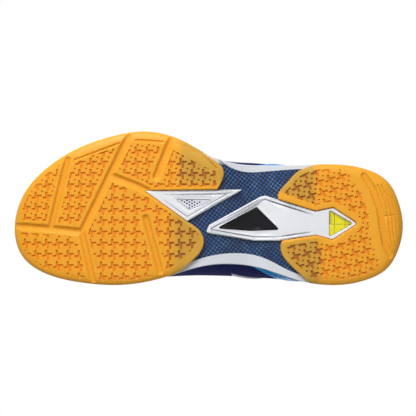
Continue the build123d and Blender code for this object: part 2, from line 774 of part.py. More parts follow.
def laces():
    lateral = list(eyelet_stations(1))
    medial = list(eyelet_stations(-1))
    low, high = CROSSING_LIFTS
    runs = [lace_run(lateral[-1], medial[-1], False, low - 0.8)]
    for row in range(EYELET_PAIRS - 1):
        runs.append(lace_run(lateral[row + 1], medial[row], True, low))
        runs.append(lace_run(medial[row + 1], lateral[row], True, high))
    return Compound(runs)


# ---------------------------------------------------------------- the parts
def build():
    return {
        "forefoot_outsole": forefoot_outsole(),
        "heel_outsole": heel_outsole(),
        "midsole": midsole(),
        "shank_plate": shank_plate(),
        "arch_blade": arch_blade(),
        "badge_insert": badge_insert(),
        "heel_window": heel_window(),
        "heel_cushion": heel_cushion(),
        "forefoot_cushion": forefoot_cushion(),
        "forefoot_vent_plate": forefoot_vent_plate(),
        "forefoot_vent_mesh": forefoot_vent_mesh(),
        "strobel_board": strobel_board(),
        "sock_liner": sock_liner(),
        "vamp": vamp(),
        "lateral_quarter": lateral_quarter(),
        "medial_quarter": medial_quarter(),
        "vamp_lining": vamp_lining(),
        "heel_lining": heel_lining(),
        "collar_padding": collar_padding(),
        "topline_binding": topline_binding(),
        "heel_counter": heel_counter(),
        "toe_puff": toe_puff(),
        "toe_overlay": toe_overlay(),
        "drag_guard": drag_guard(),
        "heel_stabiliser": heel_stabiliser(),
        "heel_pull_strip": heel_pull_strip(),
        "lateral_eyestay": eyestay(1),
        "medial_eyestay": eyestay(-1),
        "eyelets": eyelets(),
        "lateral_stripes": side_stripes(7.0, -0.9, -1),
        "medial_stripes": side_stripes(23.6, 0.9, 1),
        "tongue_cover": tongue_layer(0.0, 1.0),
        "tongue_foam": tongue_layer(1.2, 4.8),
        "tongue_lining": tongue_layer(5.0, 5.8),
        "laces": laces(),
    }


os.makedirs("parts", exist_ok=True)
for name, shape in build().items():
    export_step(shape, f"parts/{name}.step")
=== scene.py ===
import math

import bmesh
import bpy
import numpy as np
from mathutils import Matrix, Vector
from mathutils.geometry import delaunay_2d_cdt


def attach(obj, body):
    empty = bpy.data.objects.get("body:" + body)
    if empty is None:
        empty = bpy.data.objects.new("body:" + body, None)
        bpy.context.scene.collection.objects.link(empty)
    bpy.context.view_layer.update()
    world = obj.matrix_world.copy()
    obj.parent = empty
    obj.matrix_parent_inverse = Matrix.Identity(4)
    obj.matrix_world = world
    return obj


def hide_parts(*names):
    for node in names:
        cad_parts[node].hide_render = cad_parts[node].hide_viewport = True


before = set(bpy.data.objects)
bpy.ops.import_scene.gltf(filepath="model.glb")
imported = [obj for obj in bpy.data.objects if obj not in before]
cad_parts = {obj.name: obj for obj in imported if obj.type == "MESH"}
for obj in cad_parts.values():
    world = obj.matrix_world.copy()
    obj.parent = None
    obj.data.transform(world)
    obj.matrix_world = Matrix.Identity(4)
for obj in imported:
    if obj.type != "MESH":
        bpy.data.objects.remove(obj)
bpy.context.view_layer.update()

# Looks of the left court shoe.  Everything is worked out in millimetres, in the part's
# frame (+Y heel, -Y toe, +X outer side, +Z up), and turned into metres when a mesh is made.
MM = 0.001

# ---------------------------------------------------------------- sizes
# They are the part's own, except where a comment says otherwise.
FLAT_FRONT_Y, FLAT_BACK_Y = -85.0, 124.0
ARCH_FRONT_Y, ARCH_BACK_Y, ARCH_RISE = 0.0, 65.0, 4.5
TOE_SPRING_RADIUS, HEEL_BEVEL_RADIUS = 145.0, 44.0

TREAD_TOP = 3.6
LIP_TOP, LIP_WALL = 8.0, 2.0
GROOVE_DEPTH = 1.9
GROOVE_WIDTH, GROOVE_EASE, GROOVE_RIM = 3.9, 1.2, 2.6    # wider and softer than the part's
FINE_GROOVE_WIDTH, FINE_GROOVE_EASE, FINE_GROOVE_DEPTH = 1.3, 0.3, 1.0
COVER_BOTTOM, COVER_TOP = 1.2, 3.5
BADGE_SEAT = 2.3
BLADE_CORNER, INSERT_CORNER = 1.4, 0.8
VENT_CORNER, NET_CORNER = 0.45, 0.4                      # sharper than the part's
FIT_GAP = 0.25
LINER_THICKNESS, LINER_LIFT = 4.2, 1.7
FEATHER_INSET = 7.5
WALL_RISE = 10.0
HEM_LIFT = 1.0

# layers of the upper: how far their back and face lie outside the wall
LINING = (-1.6, -0.5)
LINING_TOP = 0.985
SHELL = (1.3, 2.9)
OVERLAY = (3.2, 4.0)
GUARD = (4.3, 5.3)
COLLAR_PAD = 7.5
VAMP_SEAM = 12.8
SEAM = 0.03

EYELET_PAIRS, EYELET_T, EYELET_FIRST, EYELET_STEP = 6, 0.93, 7.4, 0.93
LACE_WIDTH, LACE_THICKNESS = 4.8, 1.1
LACE_OVER, LACE_UNDER = 5.5, -4.7
CROSSING_LIFTS = (1.4, 3.4)

TONGUE_DROP, TONGUE_CROWN, TONGUE_THICKNESS = 6.4, 3.6, 5.8
TONGUE_Y = (-57, -50, -40, -28, -14, 0, 10, 18)
TONGUE_HEAD = [(27, 97.5, 18.5), (33, 106.0, 18.0), (38, 114.5, 15.5)]
TONGUE_HEAD_X, TONGUE_HEAD_FALL = -11.0, 6.0
TONGUE_LEAN, TONGUE_HEAD_LEAN = 21.0, 55.0

# outline x, y; opening edge x, y, z; belly out and up; shoulder share and drop
STATIONS = np.array([
    (-12.7, 144.6, -12.5, 133.0, 90.0, 8.0, 26.0, 0.15, 18.0),
    (7.5, 140.0, 4.0, 129.5, 86.5, 8.0, 26.0, 0.15, 17.0),
    (21.5, 130.5, 14.0, 120.0, 79.5, 8.0, 25.0, 0.15, 15.0),
    (29.5, 113.5, 19.5, 105.0, 71.5, 7.5, 23.0, 0.18, 12.0),
    (32.2, 92.0, 21.5, 86.0, 66.5, 7.0, 22.0, 0.20, 10.0),
    (31.8, 67.0, 20.5, 63.0, 68.5, 10.5, 23.0, 0.25, 11.0),
    (31.5, 43.0, 15.5, 41.0, 79.0, 16.0, 24.0, 0.40, 12.0),
    (33.0, 20.0, 9.5, 23.0, 90.5, 19.5, 24.0, 0.50, 11.0),
    (40.5, -2.0, 8.0, 5.0, 85.5, 16.0, 24.0, 0.55, 8.0),
    (50.5, -20.5, 7.5, -10.0, 80.0, 11.0, 24.0, 0.58, 6.0),
    (56.3, -43.0, 7.5, -25.0, 74.5, 9.0, 23.0, 0.60, 5.0),
    (54.0, -67.0, 8.0, -39.0, 69.0, 9.0, 23.0, 0.58, 4.0),
    (46.0, -92.0, 7.5, -50.0, 65.0, 9.0, 22.0, 0.56, 3.0),
    (34.0, -114.0, 5.5, -57.5, 62.5, 9.0, 21.0, 0.55, 2.0),
    (13.5, -135.5, 0.0, -61.5, 61.0, 9.0, 20.0, 0.54, 1.0),
    (-13.8, -144.8, -7.5, -63.0, 60.5, 9.0, 19.0, 0.54, 1.0),
    (-37.0, -137.8, -14.5, -61.5, 61.0, 9.0, 20.0, 0.54, 1.0),
    (-49.5, -118.0, -19.5, -57.5, 62.5, 9.0, 21.0, 0.55, 2.0),
    (-54.8, -95.0, -22.0, -50.0, 65.0, 9.0, 22.0, 0.56, 3.0),
    (-56.9, -69.0, -23.0, -39.0, 69.0, 9.0, 23.0, 0.58, 4.0),
    (-54.2, -44.0, -24.0, -25.0, 74.5, 15.0, 25.0, 0.58, 6.0),
    (-48.0, -21.5, -25.5, -10.0, 80.5, 29.0, 28.0, 0.56, 8.0),
    (-42.8, -2.0, -27.5, 5.0, 86.0, 41.0, 30.0, 0.50, 11.0),
    (-41.6, 18.0, -30.5, 23.0, 91.5, 44.0, 30.0, 0.45, 14.0),
    (-45.2, 41.0, -37.0, 41.0, 81.0, 37.0, 29.0, 0.40, 14.0),
    (-53.5, 66.0, -43.0, 63.0, 71.5, 19.0, 26.0, 0.28, 12.0),
    (-57.0, 92.0, -46.0, 86.0, 69.5, 9.0, 23.0, 0.20, 11.0),
    (-54.3, 113.0, -43.5, 105.0, 73.5, 7.5, 24.0, 0.18, 13.0),
    (-46.3, 130.5, -37.5, 120.0, 80.5, 8.0, 25.0, 0.15, 15.0),
    (-32.0, 140.5, -28.5, 129.5, 86.5, 8.0, 26.0, 0.15, 17.0),
])
FOOTBED = [(-145, 24.5), (-125, 19), (-95, 15), (-55, 14.5), (0, 17), (45, 21.5),
           (90, 24), (145, 25)]
RIM = [(-145, 32), (-120, 27), (-85, 23.5), (-45, 22.5), (0, 23), (20, 23.5), (55, 27),
       (95, 33), (145, 37)]

FOREFOOT_TAIL_LATERAL = [(80, -14), (50, -12), (43, -6.2), (34.8, 5), (29.6, 10.8),
                         (25.7, 11.8), (20.2, 10.4), (14.8, 7.6)]
FOREFOOT_TAIL_MEDIAL = [(-9.5, -16.4), (-17.5, -5.5), (-23.5, -3), (-32.2, -5.4),
                        (-39.2, -12), (-48, -23), (-60, -34), (-80, -34)]
UNDER_VENT = [(4, -4), (4, -14)]
HEEL_FRONT_LATERAL = [(5, 52.2), (8, 51.5), (19, 58.6), (25.7, 64.7), (29.4, 71.5),
                      (33, 82), (45, 92)]
HEEL_FRONT_MEDIAL = [(-65, 84), (-51.6, 71), (-42, 60.5), (-29, 53.4), (-24, 55),
                     (-22.2, 59)]
BLADE = [(-18.2, -1.6), (-12.6, 0.8), (8.4, 39.0), (9.2, 42.5), (-2.4, 79.0), (0.3, 92.0),
         (-11.6, 110.2), (-23.2, 91.8), (-20.0, 79.5), (-24.2, 52.0), (-24.2, 34.0)]
BADGE = [(-14.9, 6.5), (0.6, 36.0), (-16.0, 52.7), (-16.8, 31.0)]
WINDOW = [(-1.9, 89.6), (-11.6, 106.4), (-20.9, 89.6)]
VENT_PLATE = [(12.6, -46.6), (13.7, 26.0), (-9.8, -15.4)]
VENT_WINDOW = [(6.4, -23.5), (5.8, 3.0), (-1.3, -13.6)]
GROOVES_MEET = (-17.4, -92.9)        # 2.2 mm from the part's
FLEX_GROOVES = [
    [(-12.7, -150), (-15.1, -116.5), GROOVES_MEET],
    [(-14.0, -116), (36, -103.5)],
    [GROOVES_MEET, (53.4, -58.3)],
    [GROOVES_MEET, (-54, -84.5)],
    [(23.8, -71), (16, -51), (12.3, -44)],
    [(22.7, -38.4), (51.2, -27)],
    [(-7.2, -45.8), (-47, -35)]]
FINE_GROOVES = [
    [(35.4, -98), (47.7, -65)],
    [(50, -53), (48.8, -33)],
    [(48.8, -23.5), (40, -4), (29.5, 6)]]
HEEL_GROOVE = [(24, 115), (13, 121.5), (0.4, 126.2), (-13.8, 128.2), (-27, 130.5),
               (-35, 134.5)]
COUNT = len(STATIONS)


# ---------------------------------------------------------------- curves
def smooth_step(x):
    """0 below 0 and 1 above 1, with a smooth rise between."""
    x = np.clip(x, 0.0, 1.0)
    return x * x * (3 - 2 * x)


def loop_slopes(values):
    """Slopes that let a closed cubic run smoothly through evenly spaced values."""
    unit = np.eye(len(values))
    matrix = 4 * unit + np.roll(unit, 1, 0) + np.roll(unit, -1, 0)
    return np.linalg.solve(matrix, 3 * (np.roll(values, -1, 0) - np.roll(values, 1, 0)))


SLOPES = loop_slopes(STATIONS)


def station(s):
    """Rows of the station table at many places round the shoe, and their slopes."""
    s = np.asarray(s, float)
    first = np.floor(s).astype(int)
    f = (s - first)[:, None]
    p, q = STATIONS[first % COUNT], STATIONS[(first + 1) % COUNT]
    m, n = SLOPES[first % COUNT], SLOPES[(first + 1) % COUNT]
    row = ((2 * f**3 - 3 * f**2 + 1) * p + (f**3 - 2 * f**2 + f) * m
           + (3 * f**2 - 2 * f**3) * q + (f**3 - f**2) * n)
    slope = (6 * f**2 - 6 * f) * (p - q) + (3 * f**2 - 4 * f + 1) * m + (3 * f**2 - 2 * f) * n
    return row, slope


def height_at(table, y):
    """Heights of a side-view curve, without overshoot between its points."""
    ys, zs = np.array(table, float).T
    rise = np.diff(zs) / np.diff(ys)
    inner = np.where(rise[:-1] * rise[1:] <= 0, 0.0,
                     2 * rise[:-1] * rise[1:] / (rise[:-1] + rise[1:] + 1e-12))
    slopes = np.concatenate([rise[:1], inner, rise[-1:]])
    y = np.clip(np.asarray(y, float), ys[0], ys[-1])
    k = np.clip(np.searchsorted(ys, y, side="right") - 1, 0, len(ys) - 2)
    run = ys[k + 1] - ys[k]
    f = (y - ys[k]) / run
    return ((2 * f**3 - 3 * f**2 + 1) * zs[k] + (3 * f**2 - 2 * f**3) * zs[k + 1]
            + run * ((f**3 - 2 * f**2 + f) * slopes[k] + (f**3 - f**2) * slopes[k + 1]))


def outward(slope):
    """Directions in plan that point out of the shoe."""
    normal = np.stack([-slope[:, 1], slope[:, 0]], 1)
    return normal / np.linalg.norm(normal, axis=1, keepdims=True)


def outline_points(s, inset):
    """Places in plan at a distance inside the sole's outline."""
    row, slope = station(s)
    return row[:, :2] - inset * outward(slope)


def wall_point(s, t):
    """Points on the reinforcement surface of the upper: a quartic wall at each station."""
    s, t = np.asarray(s, float), np.asarray(t, float)[:, None]
    row, slope = station(s)
    out = outward(slope)
    foot = row[:, :2] - FEATHER_INSET * out
    edge = row[:, 2:5]
    floor = height_at(FOOTBED, (foot + SHELL[1] * out)[:, 1]) + HEM_LIFT
    shoulder = edge[:, :2] + row[:, 7:8] * (foot - edge[:, :2])
    controls = [np.column_stack([foot, floor]),
                np.column_stack([foot + out, floor + WALL_RISE]),
                np.column_stack([foot + row[:, 5:6] * out, floor + row[:, 6]]),
                np.column_stack([shoulder, edge[:, 2] - row[:, 8]]), edge]
    return sum(math.comb(4, i) * (1 - t) ** (4 - i) * t**i * controls[i] for i in range(5))


def wall_normal(s, t):
    s, t = np.asarray(s, float), np.asarray(t, float)
    step = 0.01
    normal = np.cross(wall_point(s, t + step) - wall_point(s, t - step),
                      wall_point(s + step, t) - wall_point(s - step, t))
    return normal / np.linalg.norm(normal, axis=1, keepdims=True)


def wall(s, t, offset=0.0):
    """Points on the upper, moved outward square to its wall."""
    s, t = np.broadcast_arrays(np.asarray(s, float), np.asarray(t, float))
    offset = np.broadcast_to(np.asarray(offset, float), s.shape)
    flat = s.ravel(), t.ravel()
    place = wall_point(*flat) + offset.ravel()[:, None] * wall_normal(*flat)
    return place.reshape(*s.shape, 3)


def at_height(s, height):
    """The t where the wall reaches a height, at one or many stations."""
    s = np.atleast_1d(np.asarray(s, float))
    low, high = np.zeros(len(s)), np.ones(len(s))
    for _ in range(24):
        middle = (low + high) / 2
        under = wall(s, middle)[:, 2] < height
        low, high = np.where(under, middle, low), np.where(under, high, middle)
    return low


def above_rim(s, gap=1.5):
    """The t just over the rim of the midsole."""
    s = np.atleast_1d(np.asarray(s, float))
    return at_height(s, height_at(RIM, outline_points(s, FEATHER_INSET)[:, 1]) + gap)


def ground(y):
    """Height of the sole's underside over the floor."""
    y = np.asarray(y, float)
    toe = np.maximum(FLAT_FRONT_Y - y, 0)
    heel = np.maximum(y - FLAT_BACK_Y, 0)
    share = np.clip((y - ARCH_FRONT_Y) / (ARCH_BACK_Y - ARCH_FRONT_Y), 0, 1)
    arch = ARCH_RISE * smooth_step(1 - np.abs(2 * share - 1))
    return (arch + TOE_SPRING_RADIUS - np.sqrt(TOE_SPRING_RADIUS**2 - toe**2)
            + HEEL_BEVEL_RADIUS - np.sqrt(HEEL_BEVEL_RADIUS**2 - heel**2))


# ---------------------------------------------------------------- plan geometry
def spline_line(points, spacing=1.6):
    """Points along a natural cubic spline through a few points in plan."""
    points = np.array(points, float)
    if len(points) < 3:
        return straight_line(points, spacing)
    chords = np.linalg.norm(np.diff(points, axis=0), axis=1)
    knots = np.concatenate([[0], np.cumsum(chords)])
    count = len(points)
    matrix, right = np.eye(count), np.zeros(points.shape)
    for i in range(1, count - 1):
        matrix[i, i - 1:i + 2] = chords[i - 1], 2 * (chords[i - 1] + chords[i]), chords[i]
        right[i] = 6 * ((points[i + 1] - points[i]) / chords[i]
                        - (points[i] - points[i - 1]) / chords[i - 1])
    bend = np.linalg.solve(matrix, right)
    u = np.linspace(0, knots[-1], max(2, int(knots[-1] / spacing)) + 1)
    k = np.clip(np.searchsorted(knots, u, side="right") - 1, 0, count - 2)
    h = chords[k][:, None]
    a = (knots[k + 1] - u)[:, None] / h
    b = 1 - a
    return (a * points[k] + b * points[k + 1]
            + ((a**3 - a) * bend[k] + (b**3 - b) * bend[k + 1]) * h**2 / 6)


def straight_line(points, spacing=1.6):
    """Points along straight runs."""
    points = np.array(points, float)
    parts = []
    for a, b in zip(points, points[1:]):
        steps = max(1, int(np.linalg.norm(b - a) / spacing))
        parts.append(a + (b - a) * np.linspace(0, 1, steps, endpoint=False)[:, None])
    return np.concatenate([*parts, points[-1:]])


def rounded(points, radius, steps=5):
    """A polygon whose corners are arcs."""
    points = np.array(points, float)
    ring = []
    for before, corner, after in zip(np.roll(points, 1, 0), points, np.roll(points, -1, 0)):
        one = (before - corner) / np.linalg.norm(before - corner)
        two = (after - corner) / np.linalg.norm(after - corner)
        half = math.acos(np.clip(one @ two, -1, 1)) / 2
        reach = radius / math.tan(half)
        centre = corner + (one + two) / np.linalg.norm(one + two) * radius / math.sin(half)
        start, end = corner + one * reach - centre, corner + two * reach - centre
        first = math.atan2(start[1], start[0])
        turn = (math.atan2(end[1], end[0]) - first + math.pi) % (2 * math.pi) - math.pi
        for share in np.linspace(0, 1, steps):
            angle = first + turn * share
            ring.append(centre + radius * np.array([math.cos(angle), math.sin(angle)]))
    return np.array(ring)


def area_of(points):
    """Signed area of a polygon, positive when it turns left."""
    x, y = np.array(points, float).T
    return 0.5 * np.sum(x * np.roll(y, -1) - np.roll(x, -1) * y)


def shrunk(points, distance):
    """A polygon moved inward by a distance, or outward by a negative one."""
    points = np.array(points, float)
    sign = 1.0 if area_of(points) > 0 else -1.0
    ring = []
    for before, corner, after in zip(np.roll(points, 1, 0), points, np.roll(points, -1, 0)):
        one, two = corner - before, after - corner
        one, two = one / np.linalg.norm(one), two / np.linalg.norm(two)
        inward = sign * (np.array([-one[1], one[0]]) + np.array([-two[1], two[0]]))
        ring.append(corner + inward * distance * 2 / (inward @ inward))
    return np.array(ring)


def beside(line, distance):
    """An open line moved sideways, to the left of its run when the distance is positive."""
    run = np.gradient(line, axis=0)
    run /= np.linalg.norm(run, axis=1, keepdims=True)
    return line + distance * np.stack([-run[:, 1], run[:, 0]], 1)


def capsule(line, radius):
    """Loops round each straight run of a line at a radius."""
    loops = []
    turns = np.linspace(-math.pi / 2, math.pi / 2, 7)
    for a, b in zip(np.array(line, float), np.array(line, float)[1:]):
        heading = math.atan2(b[1] - a[1], b[0] - a[0])
        far = [b + radius * np.array([math.cos(heading + u), math.sin(heading + u)])
               for u in turns]
        near = [a - radius * np.array([math.cos(heading + u), math.sin(heading + u)])
                for u in turns]
        loops.append(np.array(far + near))
    return loops


def distance(points, line, closed=False):
    """Distance in plan from points to a chain of straight runs."""
    line = np.array(line, float)
    start = line if closed else line[:-1]
    end = np.roll(line, -1, 0) if closed else line[1:]
    run = end - start
    length = np.maximum((run**2).sum(1), 1e-12)
    best = np.full(len(points), 1e9)
    for a, r, l in zip(start, run, length):
        share = np.clip(((points - a) @ r) / l, 0, 1)
        away = points - a - share[:, None] * r
        best = np.minimum(best, (away**2).sum(1))
    return np.sqrt(best)


def inside(points, polygon):
    """Which points lie inside a polygon."""
    found = np.zeros(len(points), bool)
    polygon = np.array(polygon, float)
    x, y = points[:, 0], points[:, 1]
    for (ax, ay), (bx, by) in zip(polygon, np.roll(polygon, -1, 0)):
        crosses = (ay > y) != (by > y)
        if ay != by:
            found ^= crosses & (x < (bx - ax) * (y - ay) / (by - ay) + ax)
    return found


# ---------------------------------------------------------------- making meshes
SLOTS = {}          # slot of each material, by the material's name


def piece(name, vertices, faces, material, body="shoe", slot=None, sharp=40.0, replaces=()):
    """A mesh object of the shoe, from millimetres, smooth but for its sharp edges."""
    mesh = bpy.data.meshes.new(name)
    mesh.from_pydata((np.asarray(vertices, float) * MM).tolist(), [], [list(f) for f in faces])
    mesh.validate()
    shell = bmesh.new()
    shell.from_mesh(mesh)
    bmesh.ops.recalc_face_normals(shell, faces=shell.faces)
    shell.to_mesh(mesh)
    shell.free()
    mesh.polygons.foreach_set("use_smooth", [True] * len(mesh.polygons))
    mesh.set_sharp_from_angle(angle=math.radians(sharp))
    mesh.materials.append(material)
    thing = bpy.data.objects.new(name, mesh)
    bpy.context.scene.collection.objects.link(thing)
    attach(thing, body)
    slot or SLOTS[material.name]
    if replaces:
        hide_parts(*replaces)
    return thing


def store(thing, name, values):
    """Puts one number, or one vector, on each vertex for the materials to read."""
    values = np.asarray(values, np.float32)
    kind = "FLOAT_VECTOR" if values.ndim == 2 else "FLOAT"
    attribute = thing.data.attributes.new(name, kind, "POINT")
    attribute.data.foreach_set("vector" if values.ndim == 2 else "value", values.ravel())


def plan_mesh(loops, keep, spacing):
    """Triangles over a plan that follow all the given loops and lines.

    keep says which places belong to the plan.  Returns points, triangles and the
    border's edges.
    """
    points, edges = [], []
    for loop, closed in loops:
        first = len(points)
        points.extend(loop)
        edges.extend((first + i, first + i + 1) for i in range(len(loop) - 1))
        if closed:
            edges.append((len(points) - 1, first))
    cloud = np.array(points)
    low, high = cloud.min(0), cloud.max(0)
    xs, ys = np.arange(low[0], high[0], spacing), np.arange(low[1], high[1], spacing * 0.866)
    grid = np.array([(x + spacing / 2 * (row % 2), y) for row, y in enumerate(ys) for x in xs])
    grid = grid[keep(grid)]
    points.extend(grid)
    result = delaunay_2d_cdt([Vector(p) for p in points], edges, [], 0, 1e-3, False)
    cloud = np.array([tuple(p) for p in result[0]])
    triangles = np.array(result[2])
    triangles = triangles[keep(cloud[triangles].mean(1))]
    used, triangles = np.unique(triangles, return_inverse=True)
    triangles = triangles.reshape(-1, 3)
    sides = np.concatenate([triangles[:, [0, 1]], triangles[:, [1, 2]], triangles[:, [2, 0]]])
    keys = np.sort(sides, 1)
    _, index, counts = np.unique(keys, axis=0, return_index=True, return_counts=True)
    return cloud[used], triangles, sides[index[counts == 1]]


def relief_solid(name, loops, keep, shape, spacing, **rest):
    """A closed plate.  shape gives the heights of its two faces at plan points, and the
    numbers to put on its underside."""
    points, triangles, border = plan_mesh(loops, keep, spacing)
    count = len(points)
    under, over, numbers = shape(points)
    faces = [tuple(f[::-1]) for f in triangles] + [tuple(f + count) for f in triangles]
    faces += [(a, b, b + count, a + count) for a, b in border]
    vertices = np.concatenate([np.column_stack([points, under]),
                               np.column_stack([points, over])])
    thing = piece(name, vertices, faces, **rest)
    for key, values in numbers.items():
        store(thing, key, np.concatenate([values, np.zeros(count)]))
    return thing


def eased_edge(away, radius):
    """How far a rounded edge has risen at a distance inside it."""
    away = np.clip(away, 0, radius)
    return radius - np.sqrt(np.maximum(radius**2 - (radius - away) ** 2, 0))


# ---------------------------------------------------------------- materials
class Finish:
    """A node material under construction, with short calls for its nodes."""

    def __init__(self, name, **surface):
        self.material = bpy.data.materials.new(name)
        SLOTS[self.material.name] = name
        self.material.use_nodes = True
        self.tree = self.material.node_tree
        self.tree.nodes.clear()
        self.shader = self.tree.nodes.new("ShaderNodeBsdfPrincipled")
        self.output = self.tree.nodes.new("ShaderNodeOutputMaterial")
        self.tree.links.new(self.shader.outputs[0], self.output.inputs[0])
        for socket, value in surface.items():
            self.set(socket.replace("_", " "), value)

    def put(self, value, socket):
        if isinstance(value, bpy.types.NodeSocket):
            self.tree.links.new(value, socket)
        else:
            colour = socket.type == "RGBA" and isinstance(value, tuple) and len(value) == 3
            socket.default_value = (*value, 1.0) if colour else value

    def set(self, socket, value):
        self.put(value, self.shader.inputs[socket])

    def node(self, kind, **values):
        node = self.tree.nodes.new("ShaderNode" + kind)
        for key, value in values.items():
            if hasattr(node, key):
                setattr(node, key, value)
            else:
                self.put(value, node.inputs[key.replace("_", " ")])
        return node

    def math(self, operation, a, b=0.0, c=0.0):
        node = self.node("Math", operation=operation)
        for socket, value in zip(node.inputs, (a, b, c)):
            self.put(value, socket)
        return node.outputs[0]

    def step(self, value, low, high):
        """0 below low, 1 above high, smooth between."""
        node = self.node("MapRange", interpolation_type="SMOOTHSTEP")
        for socket, number in zip(node.inputs, (value, low, high, 0.0, 1.0)):
            self.put(number, socket)
        return node.outputs[0]

    def mix(self, share, a, b, kind="RGBA", first=6, result=2):
        """Between two colours."""
        node = self.node("Mix", data_type=kind)
        for socket, value in ((0, share), (first, a), (first + 1, b)):
            self.put(value, node.inputs[socket])
        return node.outputs[result]

    def blend(self, share, a, b):
        """Between two numbers."""
        return self.mix(share, a, b, "FLOAT", 2, 0)

    def place(self):
        """The place on the shoe, in millimetres."""
        where = self.node("TexCoord").outputs["Object"]
        scaled = self.node("VectorMath", operation="SCALE", Scale=1000.0)
        self.put(where, scaled.inputs[0])
        return scaled.outputs[0]

    def cloth(self):
        """The place along and across a sheet, in millimetres."""
        return self.node("Attribute", attribute_name="cloth").outputs["Vector"]

    def attribute(self, name):
        return self.node("Attribute", attribute_name=name).outputs["Fac"]

    def split(self, vector):
        node = self.node("SeparateXYZ")
        self.put(vector, node.inputs[0])
        return node.outputs

    def turned(self, vector, degrees, scale=1.0):
        node = self.node("Mapping")
        self.put(vector, node.inputs[0])
        node.inputs["Rotation"].default_value = (0, 0, math.radians(degrees))
        node.inputs["Scale"].default_value = (scale, scale, scale)
        return node.outputs[0]

    def noise(self, vector, size, detail=2.0):
        """Soft mottling whose blotches are about size millimetres across."""
        node = self.node("TexNoise", Scale=1.0 / size, Detail=detail)
        self.put(vector, node.inputs["Vector"])
        return node.outputs["Fac"]

    def cells(self, vector, size):
        node = self.node("TexVoronoi", Scale=1.0 / size)
        self.put(vector, node.inputs["Vector"])
        return node.outputs["Distance"]

    def wave(self, value, period):
        """A smooth wave between 0 and 1."""
        turned = self.math("MULTIPLY", value, 2 * math.pi / period)
        return self.math("MULTIPLY_ADD", self.math("SINE", turned), 0.5, 0.5)

    def bump(self, height, depth, strength=1.0):
        """Bumps of a depth in millimetres, where height runs from 0 to 1."""
        node = self.node("Bump", Strength=strength, Distance=depth * MM)
        self.put(height, node.inputs["Height"])
        self.set("Normal", node.outputs[0])


def gum_rubber():
    """Gum rubber: painted shade in its recesses and grooves, duller where the dark plate backs
    it.
    """
    look = Finish("gum_rubber", Specular_IOR_Level=0.3)
    place = look.place()
    mottle = look.noise(place, 9.0, 4.0)
    fresh = look.mix(mottle, (0.89, 0.385, 0.022), (0.95, 0.435, 0.030))
    over_plate = look.mix(mottle, (0.62, 0.335, 0.036), (0.70, 0.385, 0.048))
    backed = look.attribute("backed")
    body = look.mix(look.step(backed, 0.0, 1.0), fresh, over_plate)
    # painted shade: the darker colours that windmills and groove floors are painted with, on
    # fresh and on backed rubber
    fresh_shaded, backed_shaded = (0.80, 0.265, 0.015), (0.44, 0.15, 0.026)
    shaded = look.mix(look.step(backed, 0.0, 0.15), fresh_shaded, backed_shaded)
    look.set("Base Color", look.mix(look.attribute("tread_shade"), body, shaded))
    grain = look.noise(place, 0.5, 3.0)
    look.set("Roughness", look.blend(look.noise(place, 14.0), 0.36, 0.52))
    look.bump(grain, 0.05, 0.35)
    return look.material


def white_plastic():
    """Glossy white plastic with a brushed tone and painted shade in its grooves."""
    look = Finish("white_plastic", Specular_IOR_Level=0.5)
    place = look.place()
    brushed = look.noise(look.turned(place, 62.0), 6.0, 3.0)
    clean = look.mix(brushed, (0.78, 0.80, 0.84), (0.87, 0.88, 0.91))
    # painted shade: grey where the line attribute marks grooves and the pocket's step
    look.set("Base Color", look.mix(look.attribute("line"), clean, (0.36, 0.38, 0.46)))
    look.set("Roughness", look.blend(look.noise(place, 3.0, 4.0), 0.3, 0.46))
    look.bump(look.noise(place, 0.35, 3.0), 0.04, 0.4)
    return look.material


def woven_composite():
    """Blue and black checks of a glossy woven plate, with painted highlight streaks and painted
    shade bands.
    """
    look = Finish("woven_composite", Coat_Weight=0.2, Coat_Roughness=0.2)
    turned, slanted = look.turned(look.place(), 8.0), look.turned(look.place(), 24.0)
    x, y, _ = look.split(turned)
    across, along = [look.math("SINE", look.math("MULTIPLY", value, 2 * math.pi / 3.4))
                     for value in (x, y)]
    check = look.math("MULTIPLY", across, along)
    broken = look.math("MULTIPLY_ADD", look.noise(turned, 2.6), 0.5, -0.25)
    dark = look.step(look.math("ADD", check, broken), -0.42, 0.12)
    # painted highlight: lighter streaks; painted shade: broad darker bands, as where the curved
    # plate turns to or from the light
    highlight_streak = look.noise(slanted, 8.0)
    shade_band = look.step(look.noise(slanted, 17.0, 1.0), 0.40, 0.62)
    blue = look.mix(look.step(highlight_streak, 0.42, 0.66), (0.014, 0.090, 0.33), (0.055, 0.21, 0.47))
    blue = look.mix(look.math("MULTIPLY", shade_band, 0.55), blue, (0.010, 0.045, 0.17))
    navy = look.mix(highlight_streak, (0.002, 0.003, 0.010), (0.005, 0.010, 0.034))
    look.set("Base Color", look.mix(dark, blue, navy))
    look.set("Roughness", look.blend(dark, 0.30, 0.48))
    look.bump(look.math("ABSOLUTE", check), 0.18, 0.7)
    return look.material


def black_inlay():
    """A matt black film with a fine weave."""
    look = Finish("black_inlay", Specular_IOR_Level=0.25)
    turned = look.turned(look.place(), 45.0)
    x, y, _ = look.split(turned)
    weave = look.math("MULTIPLY", look.wave(x, 0.9), look.wave(y, 0.9))
    look.set("Base Color", look.mix(weave, (0.003, 0.003, 0.004), (0.018, 0.018, 0.022)))
    look.set("Roughness", look.blend(weave, 0.45, 0.6))
    look.bump(weave, 0.06, 0.6)
    return look.material


def white_net():
    """The threads of the vent's net."""
    look = Finish("white_net", Roughness=0.55)
    place = look.place()
    x, y, _ = look.split(look.turned(place, 30.0))
    thread = look.math("MAXIMUM", look.wave(x, 0.6), look.wave(y, 0.6))
    look.set("Base Color", look.mix(thread, (0.52, 0.55, 0.66), (0.80, 0.82, 0.88)))
    look.bump(thread, 0.08, 0.6)
    return look.material


